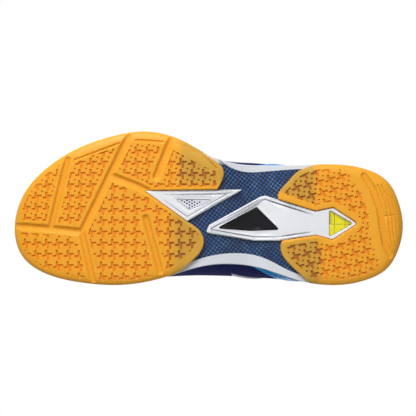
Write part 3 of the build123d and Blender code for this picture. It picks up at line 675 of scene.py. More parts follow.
def sports_mesh(name, dark, light, hole, pitch=2.1):
    """Double-layer mesh: round holes in a staggered grid, with the backing seen through."""
    look = Finish(name, Roughness=0.78, Specular_IOR_Level=0.06, Sheen_Weight=0.02,
                  Sheen_Roughness=0.5)
    u, v, _ = look.split(look.cloth())
    rows = []
    for shift in (0.0, 0.5):
        waves = [look.wave(look.math("ADD", value, shift * size), size)
                 for value, size in ((u, pitch), (v, pitch * 1.6))]
        rows.append(look.math("MULTIPLY", *waves))
    holes = look.step(look.math("MAXIMUM", *rows), 0.55, 0.80)
    yarn = look.math("MULTIPLY", look.wave(u, 0.55), look.wave(v, 0.42))
    body = look.mix(look.noise(look.place(), 16.0, 3.0), dark, light)
    body = look.mix(look.math("MULTIPLY", yarn, 0.45), body, light)
    look.set("Base Color", look.mix(holes, body, hole))
    look.bump(look.math("SUBTRACT", look.math("MULTIPLY", yarn, 0.25), holes), 0.5, 0.8)
    return look.material


def synthetic_leather(name, dark, light, rough=(0.32, 0.5)):
    """A smooth film with a leather grain."""
    look = Finish(name, Specular_IOR_Level=0.35)
    place = look.place()
    look.set("Base Color", look.mix(look.noise(place, 18.0, 3.0), dark, light))
    look.set("Roughness", look.blend(look.noise(place, 5.0, 3.0), *rough))
    look.bump(look.cells(place, 1.2), 0.09, 0.35)
    return look.material


def knitted(name, dark, light, pitch=0.9):
    """Fine knit: ribs along the sheet with small crossing loops."""
    look = Finish(name, Roughness=0.85, Specular_IOR_Level=0.2, Sheen_Weight=0.4,
                  Sheen_Roughness=0.45)
    place = look.place()
    x, y, z = look.split(place)
    u = look.math("ADD", x, z)
    v = look.math("ADD", y, look.math("MULTIPLY", z, 0.5))
    loops = look.math("MULTIPLY", look.wave(u, pitch), look.wave(v, pitch * 0.7))
    fuzz = look.noise(place, 0.7, 4.0)
    look.set("Base Color", look.mix(look.blend(0.6, fuzz, loops), dark, light))
    look.bump(look.blend(0.35, loops, fuzz), 0.22, 0.7)
    return look.material


def woven_tape(name, dark, light, pitch=0.8):
    """Flat lace or tape: a herringbone of yarns along the sheet."""
    look = Finish(name, Roughness=0.72, Specular_IOR_Level=0.25, Sheen_Weight=0.3,
                  Sheen_Roughness=0.5)
    u, v, _ = look.split(look.cloth())
    zigzag = look.math("ABSOLUTE", look.math("SUBTRACT", look.math("PINGPONG", v, 1.2), 0.6))
    weave = look.math("MULTIPLY", look.wave(look.math("ADD", u, zigzag), pitch),
                      look.wave(v, pitch * 0.9))
    look.set("Base Color", look.mix(weave, dark, light))
    look.bump(weave, 0.16, 0.8)
    return look.material


def moulded(name, dark, light, rough=0.45, drift=(8.0, 3.0), bumps=(1.0, 3.0),
            height=(0.08, 0.4), ink_and_shade=None, **surface):
    """A moulded surface: soft mottling, fine bumps, and inked lines and painted shade where it
    has them.
    """
    look = Finish(name, Roughness=rough, **surface)
    place = look.place()
    colour = look.mix(look.noise(place, *drift), dark, light)
    # this colour is laid on the inked lines and on painted shadow alike
    if ink_and_shade:
        colour = look.mix(look.attribute("line"), colour, ink_and_shade)
    look.set("Base Color", colour)
    look.bump(look.noise(place, *bumps), *height)
    return look.material


def open_foam(name, dark, light):
    """Foam with open pores, as where it is cut, with painted shade in each pore."""
    look = Finish(name, Roughness=0.9, Specular_IOR_Level=0.15)
    place = look.place()
    pores = look.cells(place, 0.8)
    # painted shade: darker at the middle of each pore
    look.set("Base Color", look.mix(pores, dark, light))
    look.bump(pores, 0.25, 0.6)
    return look.material


GUM = gum_rubber()
FOAM = moulded("white_foam", (0.66, 0.69, 0.74), (0.74, 0.77, 0.81), 0.62, (22.0, 3.0),
               (0.9, 4.0), (0.12, 0.5), Specular_IOR_Level=0.3)
PLASTIC = white_plastic()
WEAVE = woven_composite()
INLAY = black_inlay()
LENS = moulded("yellow_lens", (0.80, 0.70, 0.004), (0.95, 0.88, 0.02), 0.22, (7.0, 2.0),
               (2.0, 1.0), (0.08, 0.25), ink_and_shade=(0.085, 0.085, 0.012), Coat_Weight=0.5,
               Coat_Roughness=0.08)
NET = white_net()
NAVY_MESH = sports_mesh("navy_mesh", (0.005, 0.009, 0.095), (0.011, 0.018, 0.18),
                        (0.004, 0.005, 0.018))
NAVY_FILM = synthetic_leather("navy_film", (0.010, 0.014, 0.080), (0.016, 0.022, 0.115))
CYAN_FILM = synthetic_leather("cyan_film", (0.0, 0.30, 0.72), (0.003, 0.38, 0.82), (0.2, 0.34))
WHITE_FILM = synthetic_leather("white_film", (0.76, 0.78, 0.82), (0.84, 0.85, 0.88))
LINING_KNIT = knitted("dark_lining", (0.008, 0.010, 0.030), (0.030, 0.036, 0.085))
LINER_KNIT = knitted("liner_fabric", (0.010, 0.016, 0.070), (0.030, 0.045, 0.16), 1.3)
BINDING = woven_tape("binding", (0.006, 0.008, 0.030), (0.022, 0.027, 0.075))
LACE = woven_tape("lace_cord", (0.56, 0.58, 0.62), (0.86, 0.87, 0.89))
THREAD = moulded("thread", (0.62, 0.66, 0.74), (0.80, 0.83, 0.88), 0.6, bumps=(0.3, 3.0))
NAVY_THREAD = moulded("navy_thread", (0.02, 0.03, 0.12), (0.04, 0.06, 0.2), 0.6,
                      bumps=(0.3, 3.0))
EYELET = moulded("eyelet_plastic", (0.62, 0.65, 0.70), (0.74, 0.77, 0.81), 0.35,
                 bumps=(0.8, 3.0))
COLLAR_FOAM = open_foam("collar_foam", (0.03, 0.032, 0.05), (0.06, 0.065, 0.10))
CUSHION_FOAM = open_foam("cushion_foam", (0.45, 0.50, 0.56), (0.58, 0.62, 0.67))
GEL = moulded("yellow_gel", (0.60, 0.50, 0.01), (0.78, 0.68, 0.03), 0.25, bumps=(3.0, 3.0))
BOARD = knitted("board_fabric", (0.42, 0.42, 0.40), (0.62, 0.62, 0.58), 1.1)
STIFFENER = moulded("stiffener", (0.44, 0.43, 0.39), (0.56, 0.54, 0.49), 0.6, bumps=(1.5, 3.0))


# ---------------------------------------------------------------- the rubber soles
ROUND = np.arange(0, 30, 0.15)
OUTLINE = outline_points(ROUND, 0.0)
RUBBER_EDGE, RUBBER_ROLL = 8.0, 0.42    # reach of the roll at the rim, and how far it turns up
INNER_EDGE = 0.9                        # radius beside the shank and the covers
TREAD_PITCH = 8.275
TREAD_DEPTH = 0.95
TREAD_WALL = 0.36
BLOCK = 1.68                            # half of a windmill's middle
ARM_WIDTH, ARM_LENGTH = 1.78, 2.25
DOT_RADIUS = 0.78
POD_RIM, TAIL_RIM = 2.2, 6.0            # plain borders round the tread pattern
TOE_RIM, FRONT_RIM, SIDE_RIM = 9.4, 4.0, 3.2
HEEL_OUTER_RIM, HEEL_INNER_RIM, HEEL_TAIL_RIM, BLADE_RIM = 3.6, 4.6, 3.6, 4.2
MASK_WIDTH = 0.45                       # over which the pattern fades in at a border
FIELD_SHADE, GROOVE_SHADE = 0.14, 0.3     # how much painted shade the patterned field and the grooves get, of a windmill's
EDGE_STEPS = (0.0, 0.15, 0.45, INNER_EDGE)
RIM_STEPS = (0.0, 0.15, 0.6, 1.4, LIP_WALL, RUBBER_EDGE)
RIDGE_WIDTH, RIDGE_DEPTH, RIDGE_EASE = 0.9, 0.6, 0.35
HEEL_GROOVE_WIDTH, HEEL_GROOVE_DEPTH, HEEL_GROOVE_EASE = 4.5, 1.425, 0.9
FRONT_SEES_PLATE, HEEL_SEES_PLATE = (-24.0, -29.3), (80.6, 84.2)    # y, outer and inner side


class Lattice:
    """The grid that the windmills of a tread lie on."""

    def __init__(self, origin, right, up, dots):
        self.origin = np.array(origin, float)
        self.steps = np.array([right, up], float).T
        self.dots = dots

    def local(self, points):
        return (points - self.origin) @ np.linalg.inv(self.steps).T

    def plan(self, cells):
        return self.origin + cells @ self.steps.T

    def depth(self, points):
        """0 on the tread's face, 1 on the floor of a windmill or dot."""
        cells = self.local(points)
        u, v = ((cells - np.round(cells)) * TREAD_PITCH).T
        best = np.full(len(points), -9.0)
        for low_u, high_u, low_v, high_v in windmill_bars():
            gap = np.minimum.reduce([u - low_u, high_u - u, v - low_v, high_v - v])
            best = np.maximum(best, gap)
        if self.dots:
            offset = (cells - np.floor(cells) - 0.5) * TREAD_PITCH
            best = np.maximum(best, DOT_RADIUS - np.hypot(*offset.T))
        return np.clip(best / TREAD_WALL, 0, 1)

    def loops(self, region, mask):
        """Outlines and floor lines of the windmills and dots that show in a region."""
        corners = self.local(region)
        low, high = np.floor(corners.min(0)), np.ceil(corners.max(0))
        shapes = [(0.0, windmill_ring(0.0)), (0.0, windmill_ring(TREAD_WALL))]
        if self.dots:
            turn = np.linspace(0, 2 * math.pi, 8, endpoint=False)
            ring = np.stack([np.cos(turn), np.sin(turn)], 1)
            shapes += [(0.5, DOT_RADIUS * ring), (0.5, (DOT_RADIUS - TREAD_WALL) * ring)]
        cells = np.array([(i, j) for i in np.arange(low[0], high[0] + 1)
                          for j in np.arange(low[1], high[1] + 1)])
        found = []
        for shift, ring in shapes:
            near = cells[mask(self.plan(cells + shift)) > -3.9]
            rings = [self.plan(cell + shift + ring / TREAD_PITCH) for cell in near]
            shown = mask(np.concatenate(rings)).reshape(len(rings), -1).max(1) > 0
            found += [(ring, True) for ring, seen in zip(rings, shown) if seen]
        return found


def windmill_bars():
    """The bars of a windmill: low and high along, low and high up."""
    b, tip, side = BLOCK, BLOCK + ARM_LENGTH, BLOCK - ARM_WIDTH
    return [(-b, -side, -b, tip), (-b, tip, side, b), (side, b, -tip, b), (-tip, b, -b, -side),
            (-b, b, -b, b)]


def windmill_ring(inset):
    """Outline of a windmill, moved inward by an inset."""
    b, tip, side = BLOCK - inset, BLOCK + ARM_LENGTH - inset, BLOCK - ARM_WIDTH + inset
    arm = [(-b, tip), (-side, tip), (-side, b)]
    corners = []
    for turn in range(4):
        for u, v in arm:
            for _ in range(turn):
                u, v = v, -u
            corners.append((u, v))
    return rounded(corners, 0.3, 2)


OUTER_LATTICE = Lattice((33.03, -19.27), (0, 8.275), (8.275, 0), True)
INNER_LATTICE = Lattice((-9.99, -77.8), (0, 8.2), (8.275, 0), False)
HEEL_LATTICE = Lattice((1.57, 114.2), (2.01, 8.2), (7.75, -2.61), True)
OUTER_PODS = [(-12.7, -160), (-15.1, -116.5), GROOVES_MEET, (23.8, -73.4), (16, -51),
              (12.3, -44), (13, 30), (90, 30), (90, -160)]


def edge_distance(points):
    """Distance in plan from the sole's outline."""
    return distance(points, OUTLINE, closed=True)


def groove_depth(points, lines, width, depth, ease=0.8):
    """Depth of U-shaped grooves at plan points."""
    deepest = np.zeros(len(points))
    for line in lines:
        share = (width / 2 + ease - distance(points, line)) / (2 * ease)
        deepest = np.maximum(deepest, depth * smooth_step(share))
    return deepest


def groove_loops(lines, width, more=(), ease=0.8):
    """Lines along which the slopes of grooves are meshed."""
    radii = [width / 2 + share * ease for share in (-1, -0.5, 0, 0.5, 1)]
    loops = [(loop, True) for line in lines for r in [*radii, *more] if r > 0.1
             for loop in capsule(line, r)]
    return loops + [(straight_line(line, 3.0), False) for line in lines]


def outline_loops(*insets):
    return [(outline_points(ROUND, inset), True) for inset in insets]


FOREFOOT_TAILS = [spline_line(FOREFOOT_TAIL_LATERAL), spline_line(FOREFOOT_TAIL_MEDIAL)]
HEEL_TAILS = [spline_line(HEEL_FRONT_LATERAL), spline_line(HEEL_FRONT_MEDIAL)]
UNDER_COVER = straight_line([FOREFOOT_TAIL_LATERAL[-1], *UNDER_VENT, FOREFOOT_TAIL_MEDIAL[0]])
FOREFOOT_BORDER = np.concatenate([FOREFOOT_TAILS[0], UNDER_COVER[1:-1], FOREFOOT_TAILS[1]])
FOREFOOT_REGION = np.concatenate([FOREFOOT_BORDER, [(-80, -170), (80, -170)]])
HEEL_REGION = np.concatenate([HEEL_TAILS[0], [(80, 92), (80, 170), (-80, 170), (-80, 84)],
                              HEEL_TAILS[1]])
VENT_HOLE = shrunk(rounded(VENT_PLATE, VENT_CORNER), -FIT_GAP)
BLADE_HOLE = shrunk(rounded(BLADE, BLADE_CORNER), -FIT_GAP)
BEHIND_TREAD = spline_line([(40, 104), *HEEL_GROOVE, (-48, 141)])


def forefoot_clearance(points):
    """How far a place is inside the patterned part of a pod; negative on its rim."""
    x, y = points.T
    toe_pod = (x > 20) & (y > -116 + 0.25 * (x + 14))
    rim = np.where(toe_pod, TOE_RIM, np.where(y < -100, FRONT_RIM, SIDE_RIM))
    gaps = [edge_distance(points) - rim]
    gaps += [distance(points, line) - GROOVE_WIDTH / 2 - GROOVE_RIM for line in FLEX_GROOVES]
    gaps += [distance(points, FOREFOOT_TAILS[0][:-6]) - TAIL_RIM,
             distance(points, FOREFOOT_TAILS[1][16:]) - TAIL_RIM,
             distance(points, VENT_HOLE, closed=True) - POD_RIM,
             distance(points, FOREFOOT_BORDER) - POD_RIM]
    return np.minimum.reduce(gaps)


def heel_clearance(points):
    """The same for the heel, whose back bevel has no pattern."""
    x, y = points.T
    edge = edge_distance(points) - np.where(x > 0, HEEL_OUTER_RIM, HEEL_INNER_RIM)
    clear = np.minimum(edge, distance(points, BEHIND_TREAD) - 9.5)
    clear = np.where(y > 112 + 0.45 * (20 - x), -1.0, clear)
    return np.minimum.reduce([clear, distance(points, BLADE_HOLE, closed=True) - BLADE_RIM,
                              *[distance(points, tail) - HEEL_TAIL_RIM for tail in HEEL_TAILS]])


def tread_share(points, lattice_of, clearance):
    """How deep the tread pattern is at plan points, 0 to 1."""
    mask = np.clip(clearance(points) / MASK_WIDTH, 0, 1)
    share = np.zeros(len(points))
    for lattice, belongs in lattice_of(points):
        share = np.where(belongs, lattice.depth(points), share)
    return share * mask


def forefoot_lattices(points):
    outer = inside(points, OUTER_PODS)
    return [(OUTER_LATTICE, outer), (INNER_LATTICE, ~outer)]


def heel_lattices(points):
    return [(HEEL_LATTICE, np.ones(len(points), bool))]


def forefoot_backed(points):
    """Where the dark plate lies behind the rubber and shows through."""
    x, y = points.T
    behind = np.clip((y - np.where(x > 5, *FRONT_SEES_PLATE)) / 9.0, 0, 1)
    beside_cover = distance(points, VENT_HOLE, closed=True)
    return behind * np.where(x > 5, smooth_step((beside_cover - 2.0) / 7.0), 1.0)


def heel_backed(points):
    x, y = points.T
    behind = np.clip((np.where(x > -9, *HEEL_SEES_PLATE) - y) / 5.0, 0, 1)
    beside_cover = distance(points, BLADE_HOLE, closed=True)
    return behind * smooth_step((beside_cover - np.where(x > -9, 4.5, 0.5)) / 2.5)


def rubber_sole(name, loops, keep, carve, treads, clearance, backed, border, node):
    """One rubber piece of the outsole with its tread, grooves and lip."""
    def shape(points):
        floor, edge = ground(points[:, 1]), edge_distance(points)
        pattern, carved = tread_share(points, treads, clearance), carve(points)
        raised = np.maximum(RUBBER_ROLL * eased_edge(edge, RUBBER_EDGE),
                            eased_edge(border(points), INNER_EDGE))
        under = floor + np.maximum.reduce([raised, carved, TREAD_DEPTH * pattern])
        over = floor + np.where(edge < LIP_WALL, LIP_TOP, TREAD_TOP)
        # painted shade: full in the windmills, part in the grooves, and a little over the whole
        # patterned field so that its plain borders look lit
        field = FIELD_SHADE * smooth_step(clearance(points) / MASK_WIDTH)
        shaded = np.maximum(pattern, field) + GROOVE_SHADE * carved / GROOVE_DEPTH
        return under, over, {"tread_shade": np.clip(shaded, 0, 1), "backed": backed(points)}

    relief_solid(name, loops, keep, shape, spacing=4.5, material=GUM, replaces=[node])


def both(*widths):
    """Each border width, and where the pattern has faded in beside it."""
    return [value for width in widths for value in (width, width + MASK_WIDTH)]


def level_lines(start, end, *heights):
    """Straight lines across the shoe that end a change of colour."""
    return [(straight_line([(start, y), (end, y)]), False) for y in heights]


def forefoot_sole():
    def keep(points):
        return (inside(points, OUTLINE) & inside(points, FOREFOOT_REGION)
                & ~inside(points, VENT_HOLE))

    def carve(points):
        flex = groove_depth(points, FLEX_GROOVES, GROOVE_WIDTH, GROOVE_DEPTH, GROOVE_EASE)
        fine = groove_depth(points, FINE_GROOVES, FINE_GROOVE_WIDTH, FINE_GROOVE_DEPTH,
                            FINE_GROOVE_EASE)
        return np.maximum(flex, fine)

    def border(points):
        return np.minimum(distance(points, FOREFOOT_BORDER),
                          distance(points, VENT_HOLE, closed=True))

    loops = outline_loops(*RIM_STEPS, *both(SIDE_RIM, FRONT_RIM, TOE_RIM))
    loops += groove_loops(FLEX_GROOVES, GROOVE_WIDTH, both(GROOVE_WIDTH / 2 + GROOVE_RIM),
                          GROOVE_EASE)
    loops += groove_loops(FINE_GROOVES, FINE_GROOVE_WIDTH, ease=FINE_GROOVE_EASE)
    for line in FOREFOOT_TAILS:
        loops += [(beside(line, away), False)
                  for away in (*EDGE_STEPS, *both(POD_RIM, TAIL_RIM))]
    loops += [(shrunk(VENT_HOLE, -away), True) for away in (*EDGE_STEPS, *both(POD_RIM))]
    loops += level_lines(5, 60, -24.1, -23.2) + level_lines(-60, 5, -29.4, -28.5)
    for lattice, outer in ((OUTER_LATTICE, True), (INNER_LATTICE, False)):
        def mask(points, outer=outer):
            belongs = inside(points, OUTER_PODS) == outer
            return forefoot_clearance(points) * (keep(points) & belongs)
        loops += lattice.loops(OUTLINE, mask)
    rubber_sole("forefoot_tread", loops, keep, carve, forefoot_lattices, forefoot_clearance,
                forefoot_backed, border, "forefoot_outsole")


def heel_ridges():
    """Fine ridges across the back bevel, and the break between its two halves."""
    base = spline_line([(17, 119.5), *HEEL_GROOVE[2:]])
    lines = [base + np.array([-0.12 * k, shift])
             for k, shift in enumerate((5.4, 8.2, 11.0, 13.8))]
    return [line[::3] for line in lines] + [np.array([(-6.2, 129.5), (-4.0, 146.0)])]


def heel_sole():
    ridges = heel_ridges()

    def keep(points):
        return (inside(points, OUTLINE) & inside(points, HEEL_REGION)
                & ~inside(points, BLADE_HOLE))

    def carve(points):
        groove = groove_depth(points, [HEEL_GROOVE], HEEL_GROOVE_WIDTH, HEEL_GROOVE_DEPTH,
                              HEEL_GROOVE_EASE)
        return np.maximum(groove, groove_depth(points, ridges, RIDGE_WIDTH, RIDGE_DEPTH,
                                               RIDGE_EASE))

    def border(points):
        return np.minimum.reduce([distance(points, BLADE_HOLE, closed=True),
                                  *[distance(points, tail) for tail in HEEL_TAILS]])

    loops = outline_loops(*RIM_STEPS, *both(HEEL_OUTER_RIM, HEEL_INNER_RIM))
    loops += groove_loops([HEEL_GROOVE], HEEL_GROOVE_WIDTH, ease=HEEL_GROOVE_EASE)
    loops += groove_loops(ridges, RIDGE_WIDTH, ease=RIDGE_EASE)
    for line in HEEL_TAILS:
        loops += [(beside(line, away), False) for away in (*EDGE_STEPS, *both(HEEL_TAIL_RIM))]
    loops += [(shrunk(BLADE_HOLE, -away), True) for away in (*EDGE_STEPS, *both(BLADE_RIM))]
    loops += level_lines(-9, 60, 80.0, 80.7) + level_lines(-70, -9, 83.6, 84.3)
    loops += HEEL_LATTICE.loops(OUTLINE, lambda p: heel_clearance(p) * keep(p))
    rubber_sole("heel_tread", loops, keep, carve, heel_lattices, heel_clearance, heel_backed,
                border, "heel_outsole")


# ---------------------------------------------------------------- the shank's covers
COVER_RIM, COVER_LINE = 2.6, 0.6       # plain rim of a cover, and the groove inside it
COVER_RADIUS, WINDOW_RADIUS = 0.9, 0.7
COVER_STEPS = (0.0, 0.12, 0.4, COVER_RADIUS, COVER_RIM, 2.75, 2.9, 3.05, 3.2, 3.4)
WINDOW_RIM = 2.4
INLAY_GAP, LENS_DEPTH, NET_DEPTH = 0.1, 0.3, 0.7
LENS_LINES = [[(-30, 93.2), (5, 93.2)], [(-30, 101.1), (5, 101.1)], [(-12.1, 80), (-12.1, 110)]]
LENS_LINE = 0.34
NET_PITCH, NET_HOLE = 2.15, 0.58


def cover_face(away, shown):
    """Relief of a cover's underside: a rounded rim, and a groove inside it where shown."""
    middle = COVER_RIM + COVER_LINE / 2
    # line: where the groove is painted with shade
    line = shown * smooth_step((COVER_LINE / 2 + 0.25 - np.abs(away - middle)) / 0.4)
    inner = 0.3 * shown * smooth_step((away - COVER_RIM) / 0.5)
    return eased_edge(away, COVER_RADIUS) + np.maximum(inner, 0.75 * line), line


def ring_loops(ring, *insets):
    return [(shrunk(ring, inset), True) for inset in insets]


def arch_cover():
    """The blade shaped cover under the arch, with its pocket and its window."""
    outer = rounded(BLADE, BLADE_CORNER)
    pocket = shrunk(rounded(BADGE, INSERT_CORNER), -FIT_GAP)
    window = shrunk(rounded(WINDOW, INSERT_CORNER), -FIT_GAP)

    def shape(points):
        floor, away = ground(points[:, 1]), distance(points, outer, closed=True)
        relief, line = cover_face(away, smooth_step((58 - points[:, 1]) / 14))
        to_window = distance(points, window, closed=True)
        rim = eased_edge(np.minimum(away, to_window), WINDOW_RADIUS)
        relief = np.where(to_window < WINDOW_RIM, rim, relief)
        line = np.where(to_window < WINDOW_RIM, 0.0, line)
        side = np.where(inside(points, pocket), 1, -1)
        to_pocket = side * distance(points, pocket, closed=True)
        sunk_in = smooth_step((to_pocket + 0.1) / 0.3)
        relief = relief + (BADGE_SEAT - COVER_BOTTOM - 0.3) * sunk_in
        # painted shade on the pocket's floor and round its step, as in the grooves
        line = np.maximum(line, sunk_in)
        return floor + COVER_BOTTOM + relief, floor + COVER_TOP, {"line": line}

    loops = ring_loops(outer, *COVER_STEPS)
    loops += ring_loops(window, 0.0, -0.12, -0.4, -WINDOW_RADIUS, -WINDOW_RIM)
    loops += ring_loops(pocket, -0.1, 0.05, 0.2, 1.5)
    relief_solid("arch_cover", loops, lambda p: inside(p, outer) & ~inside(p, window), shape,
                 spacing=2.6, material=PLASTIC, replaces=["arch_blade"])


def cover_badge():
    """The plain black inlay in the pocket."""
    outer = rounded(BADGE, INSERT_CORNER)

    def shape(points):
        floor, away = ground(points[:, 1]), distance(points, outer, closed=True)
        under = floor + COVER_BOTTOM + INLAY_GAP + 0.8 * eased_edge(away, 0.7)
        return under, floor + BADGE_SEAT - INLAY_GAP, {}

    relief_solid("cover_badge", ring_loops(outer, 0.0, 0.1, 0.3, 0.7),
                 lambda p: inside(p, outer), shape, spacing=2.2, material=INLAY,
                 replaces=["badge_insert"])


def lens():
    """The yellow window: a shallow dish with fine lines moulded across it, and painted shadow
    inside its rim on the outer half.
    """
    outer = rounded(WINDOW, INSERT_CORNER)

    def shape(points):
        floor, away = ground(points[:, 1]), distance(points, outer, closed=True)
        mark = np.maximum.reduce([smooth_step((LENS_LINE - distance(points, line)) / 0.3)
                                  for line in LENS_LINES])
        mark *= 0.35 + 0.65 * smooth_step((points[:, 0] + 20) / 14)
        # painted shadow inside the rim on the outer half, in the same dark colour as the lines
        shade = 0.5 * smooth_step((2.2 - away) / 2.2) * (points[:, 0] > -12)
        under = floor + COVER_BOTTOM + LENS_DEPTH + eased_edge(away, 0.4) + 0.25 * mark
        return under, floor + COVER_TOP, {"line": np.maximum(mark, shade)}

    loops = ring_loops(outer, 0.0, 0.1, 0.4, 1.2, 2.2)
    loops += [(beside(straight_line(line, 1.2), away), False)
              for line in LENS_LINES for away in (-LENS_LINE, 0.0, LENS_LINE)]
    relief_solid("window_lens", loops, lambda p: inside(p, outer), shape, spacing=1.4,
                 material=LENS, replaces=["heel_window"])


def vent_cover():
    """The three-cornered plate under the forefoot, round its net."""
    outer = rounded(VENT_PLATE, VENT_CORNER)
    hole = shrunk(rounded(VENT_WINDOW, NET_CORNER), -FIT_GAP)

    def shape(points):
        floor, away = ground(points[:, 1]), distance(points, outer, closed=True)
        along_back = distance(points, np.array(VENT_PLATE)[[1, 2]])
        relief, line = cover_face(away, smooth_step(COVER_RIM + 2.2 - along_back))
        to_hole = distance(points, hole, closed=True)
        relief = relief + eased_edge(to_hole, 0.6) + 0.35 * smooth_step((2.6 - to_hole) / 0.9)
        # painted shade in the groove, a little lighter here
        return floor + COVER_BOTTOM + relief, floor + COVER_TOP, {"line": 0.7 * line}

    loops = ring_loops(outer, *COVER_STEPS)
    loops += ring_loops(hole, 0.0, -0.1, -0.3, -0.6, -1.7, -2.6)
    relief_solid("vent_cover", loops, lambda p: inside(p, outer) & ~inside(p, hole), shape,
                 spacing=2.4, material=PLASTIC, replaces=["forefoot_vent_plate"])


def vent_net():
    """Coarse net in the vent, as a sheet with round holes."""
    outer = rounded(VENT_WINDOW, NET_CORNER)
    turn = np.linspace(0, 2 * math.pi, 12, endpoint=False)
    ring = NET_HOLE * np.stack([np.cos(turn), np.sin(turn)], 1)
    centres = np.array([(column * NET_PITCH + (row % 2) * NET_PITCH / 2 + 1.0,
                         row * NET_PITCH * 0.87 - 0.5)
                        for column in range(-2, 4) for row in range(-13, 3)])
    centres = centres[inside(centres, outer) & (distance(centres, outer, closed=True) > 0.8)]

    def nearest(points):
        return np.min([np.hypot(*(points - centre).T) for centre in centres], axis=0)

    def shape(points):
        floor = ground(points[:, 1])
        knots = 0.3 * smooth_step((0.95 - nearest(points)) / 0.35)
        return floor + COVER_BOTTOM + NET_DEPTH + knots, floor + COVER_TOP - 0.5, {}

    loops = ring_loops(outer, 0.0, 0.5) + [(ring + centre, True) for centre in centres]
    loops += [(1.5 * ring + centre, True) for centre in centres]
    relief_solid("vent_net", loops, lambda p: inside(p, outer) & (nearest(p) > NET_HOLE - 0.02),
                 shape, spacing=1.6, material=NET, replaces=["forefoot_vent_mesh"])


for make in (forefoot_sole, heel_sole, arch_cover, cover_badge, lens, vent_cover, vent_net):
    make()


# ---------------------------------------------------------------- panels of the upper
def shares_of(count, edge):
    """Shares from 0 to 1, closer together in the rolled edges, and how full it is there."""
    turn = edge * np.array([0, 0.08, 0.28, 0.6, 1.0])
    middle = np.linspace(edge, 1 - edge, count)[1:-1]
    shares = np.concatenate([turn, middle, 1 - turn[::-1]])
    away = np.minimum(np.minimum(shares, 1 - shares) / edge, 1)
    return shares, np.sqrt(1 - (1 - away) ** 2)


def path_length(points):
    """Length walked along a path at each of its points."""
    return np.concatenate([[0], np.cumsum(np.linalg.norm(np.diff(points, axis=0), axis=1))])


def grid_faces(rows, columns, first=0):
    """Four-sided faces over a grid of points."""
    index = first + np.arange(rows * columns).reshape(rows, columns)
    return np.stack([index[:-1, :-1], index[1:, :-1], index[1:, 1:], index[:-1, 1:]],
                    -1).reshape(-1, 4)


def closed_sheet(name, face, back, u, v, material, **rest):
    """A thin solid between two grids of points, with its cloth places."""
    rows, columns = face.shape[:2]
    count = rows * columns
    index = np.arange(count).reshape(rows, columns)
    border = np.concatenate([index[0], index[1:, -1], index[-1, -2::-1], index[-2:0:-1, 0]])
    after = np.roll(border, -1)
    faces = [*grid_faces(rows, columns), *grid_faces(rows, columns, count)[:, ::-1],
             *np.stack([border, after, after + count, border + count], 1)]
    points = np.concatenate([face.reshape(-1, 3), back.reshape(-1, 3)])
    thing = piece(name, points, faces, material, **rest)
    place = np.stack([u, v, np.zeros_like(u)], -1).reshape(-1, 3)
    store(thing, "cloth", np.concatenate([place, place]))
    return thing


def at(value, *where):
    """A number, or a function's values at some places."""
    return value(*where) if callable(value) else np.full(np.shape(where[0]), float(value))


def wall_panel(name, stations, levels, layer, material, replaces=(), edge=1.0, grain=2.6,
               swell=None):
    """A panel on the upper's wall between two stations and two levels, with rolled edges.

    layer gives its back and its face, in millimetres outside the wall."""
    (start, end), (low, high), (back, face) = stations, levels, layer
    ends = np.linspace(start, end, 60)
    width = path_length(wall(ends, (at(low, ends) + at(high, ends)) / 2))[-1]
    centre = np.full(40, (start + end) / 2)
    upright = np.linspace(at(low, centre)[0], at(high, centre)[0], 40)
    height = path_length(wall(centre, upright))[-1]
    along, full_s = shares_of(max(6, int(width / grain)), min(0.3, edge / width))
    up, full_t = shares_of(max(6, int(height / grain)), min(0.3, edge / height))
    s = start + (end - start) * along
    t = at(low, s)[:, None] + (at(high, s) - at(low, s))[:, None] * up
    s_grid = np.broadcast_to(s[:, None], t.shape)
    full = np.minimum(full_s[:, None], full_t[None, :])
    under, over = at(back, s_grid, t), at(face, s_grid, t)
    top = under + (over - under) * (0.15 + 0.85 * full)
    if swell is not None:
        top = top + swell(s_grid, t) * full
    face_points, back_points = wall(s_grid, t, top), wall(s_grid, t, under)
    steps = np.linalg.norm(np.diff(face_points, axis=1), axis=2)
    v = np.concatenate([np.zeros((len(s), 1)), np.cumsum(steps, 1)], 1)
    u = np.broadcast_to(path_length(wall(s, np.full(len(s), 0.5)))[:, None], v.shape)
    closed_sheet(name, face_points, back_points, u, v, material, replaces=replaces, sharp=60)


def tube(centres, radii, across, sides=10, squareness=1.0):
    """Points, faces and cloth places of a cord or roll along a path.

    radii are its half sizes across and square to that."""
    centres = np.asarray(centres, float)
    run = np.gradient(centres, axis=0)
    run /= np.linalg.norm(run, axis=1, keepdims=True)
    across = np.broadcast_to(np.asarray(across, float), centres.shape)
    across = across - (across * run).sum(1, keepdims=True) * run
    across /= np.linalg.norm(across, axis=1, keepdims=True)
    up = np.cross(run, across)
    turn = np.linspace(0, 2 * math.pi, sides, endpoint=False)
    c, k = np.cos(turn), np.sin(turn)
    c, k = np.sign(c) * np.abs(c) ** squareness, np.sign(k) * np.abs(k) ** squareness
    radii = np.broadcast_to(np.asarray(radii, float), (len(centres), 2))
    points = (centres[:, None] + c[None, :, None] * (radii[:, :1] * across)[:, None]
              + k[None, :, None] * (radii[:, 1:] * up)[:, None])
    rows = len(centres)
    index = np.arange(rows * sides).reshape(rows, sides)
    after = np.roll(index, -1, 1)
    faces = list(np.stack([index[:-1], index[1:], after[1:], after[:-1]], -1).reshape(-1, 4))
    faces += [index[0][::-1], index[-1]]
    u = np.repeat(path_length(centres), sides)
    v = np.tile(c * radii.max(), rows)
    return points.reshape(-1, 3), faces, np.stack([u, v, 0 * u], 1)


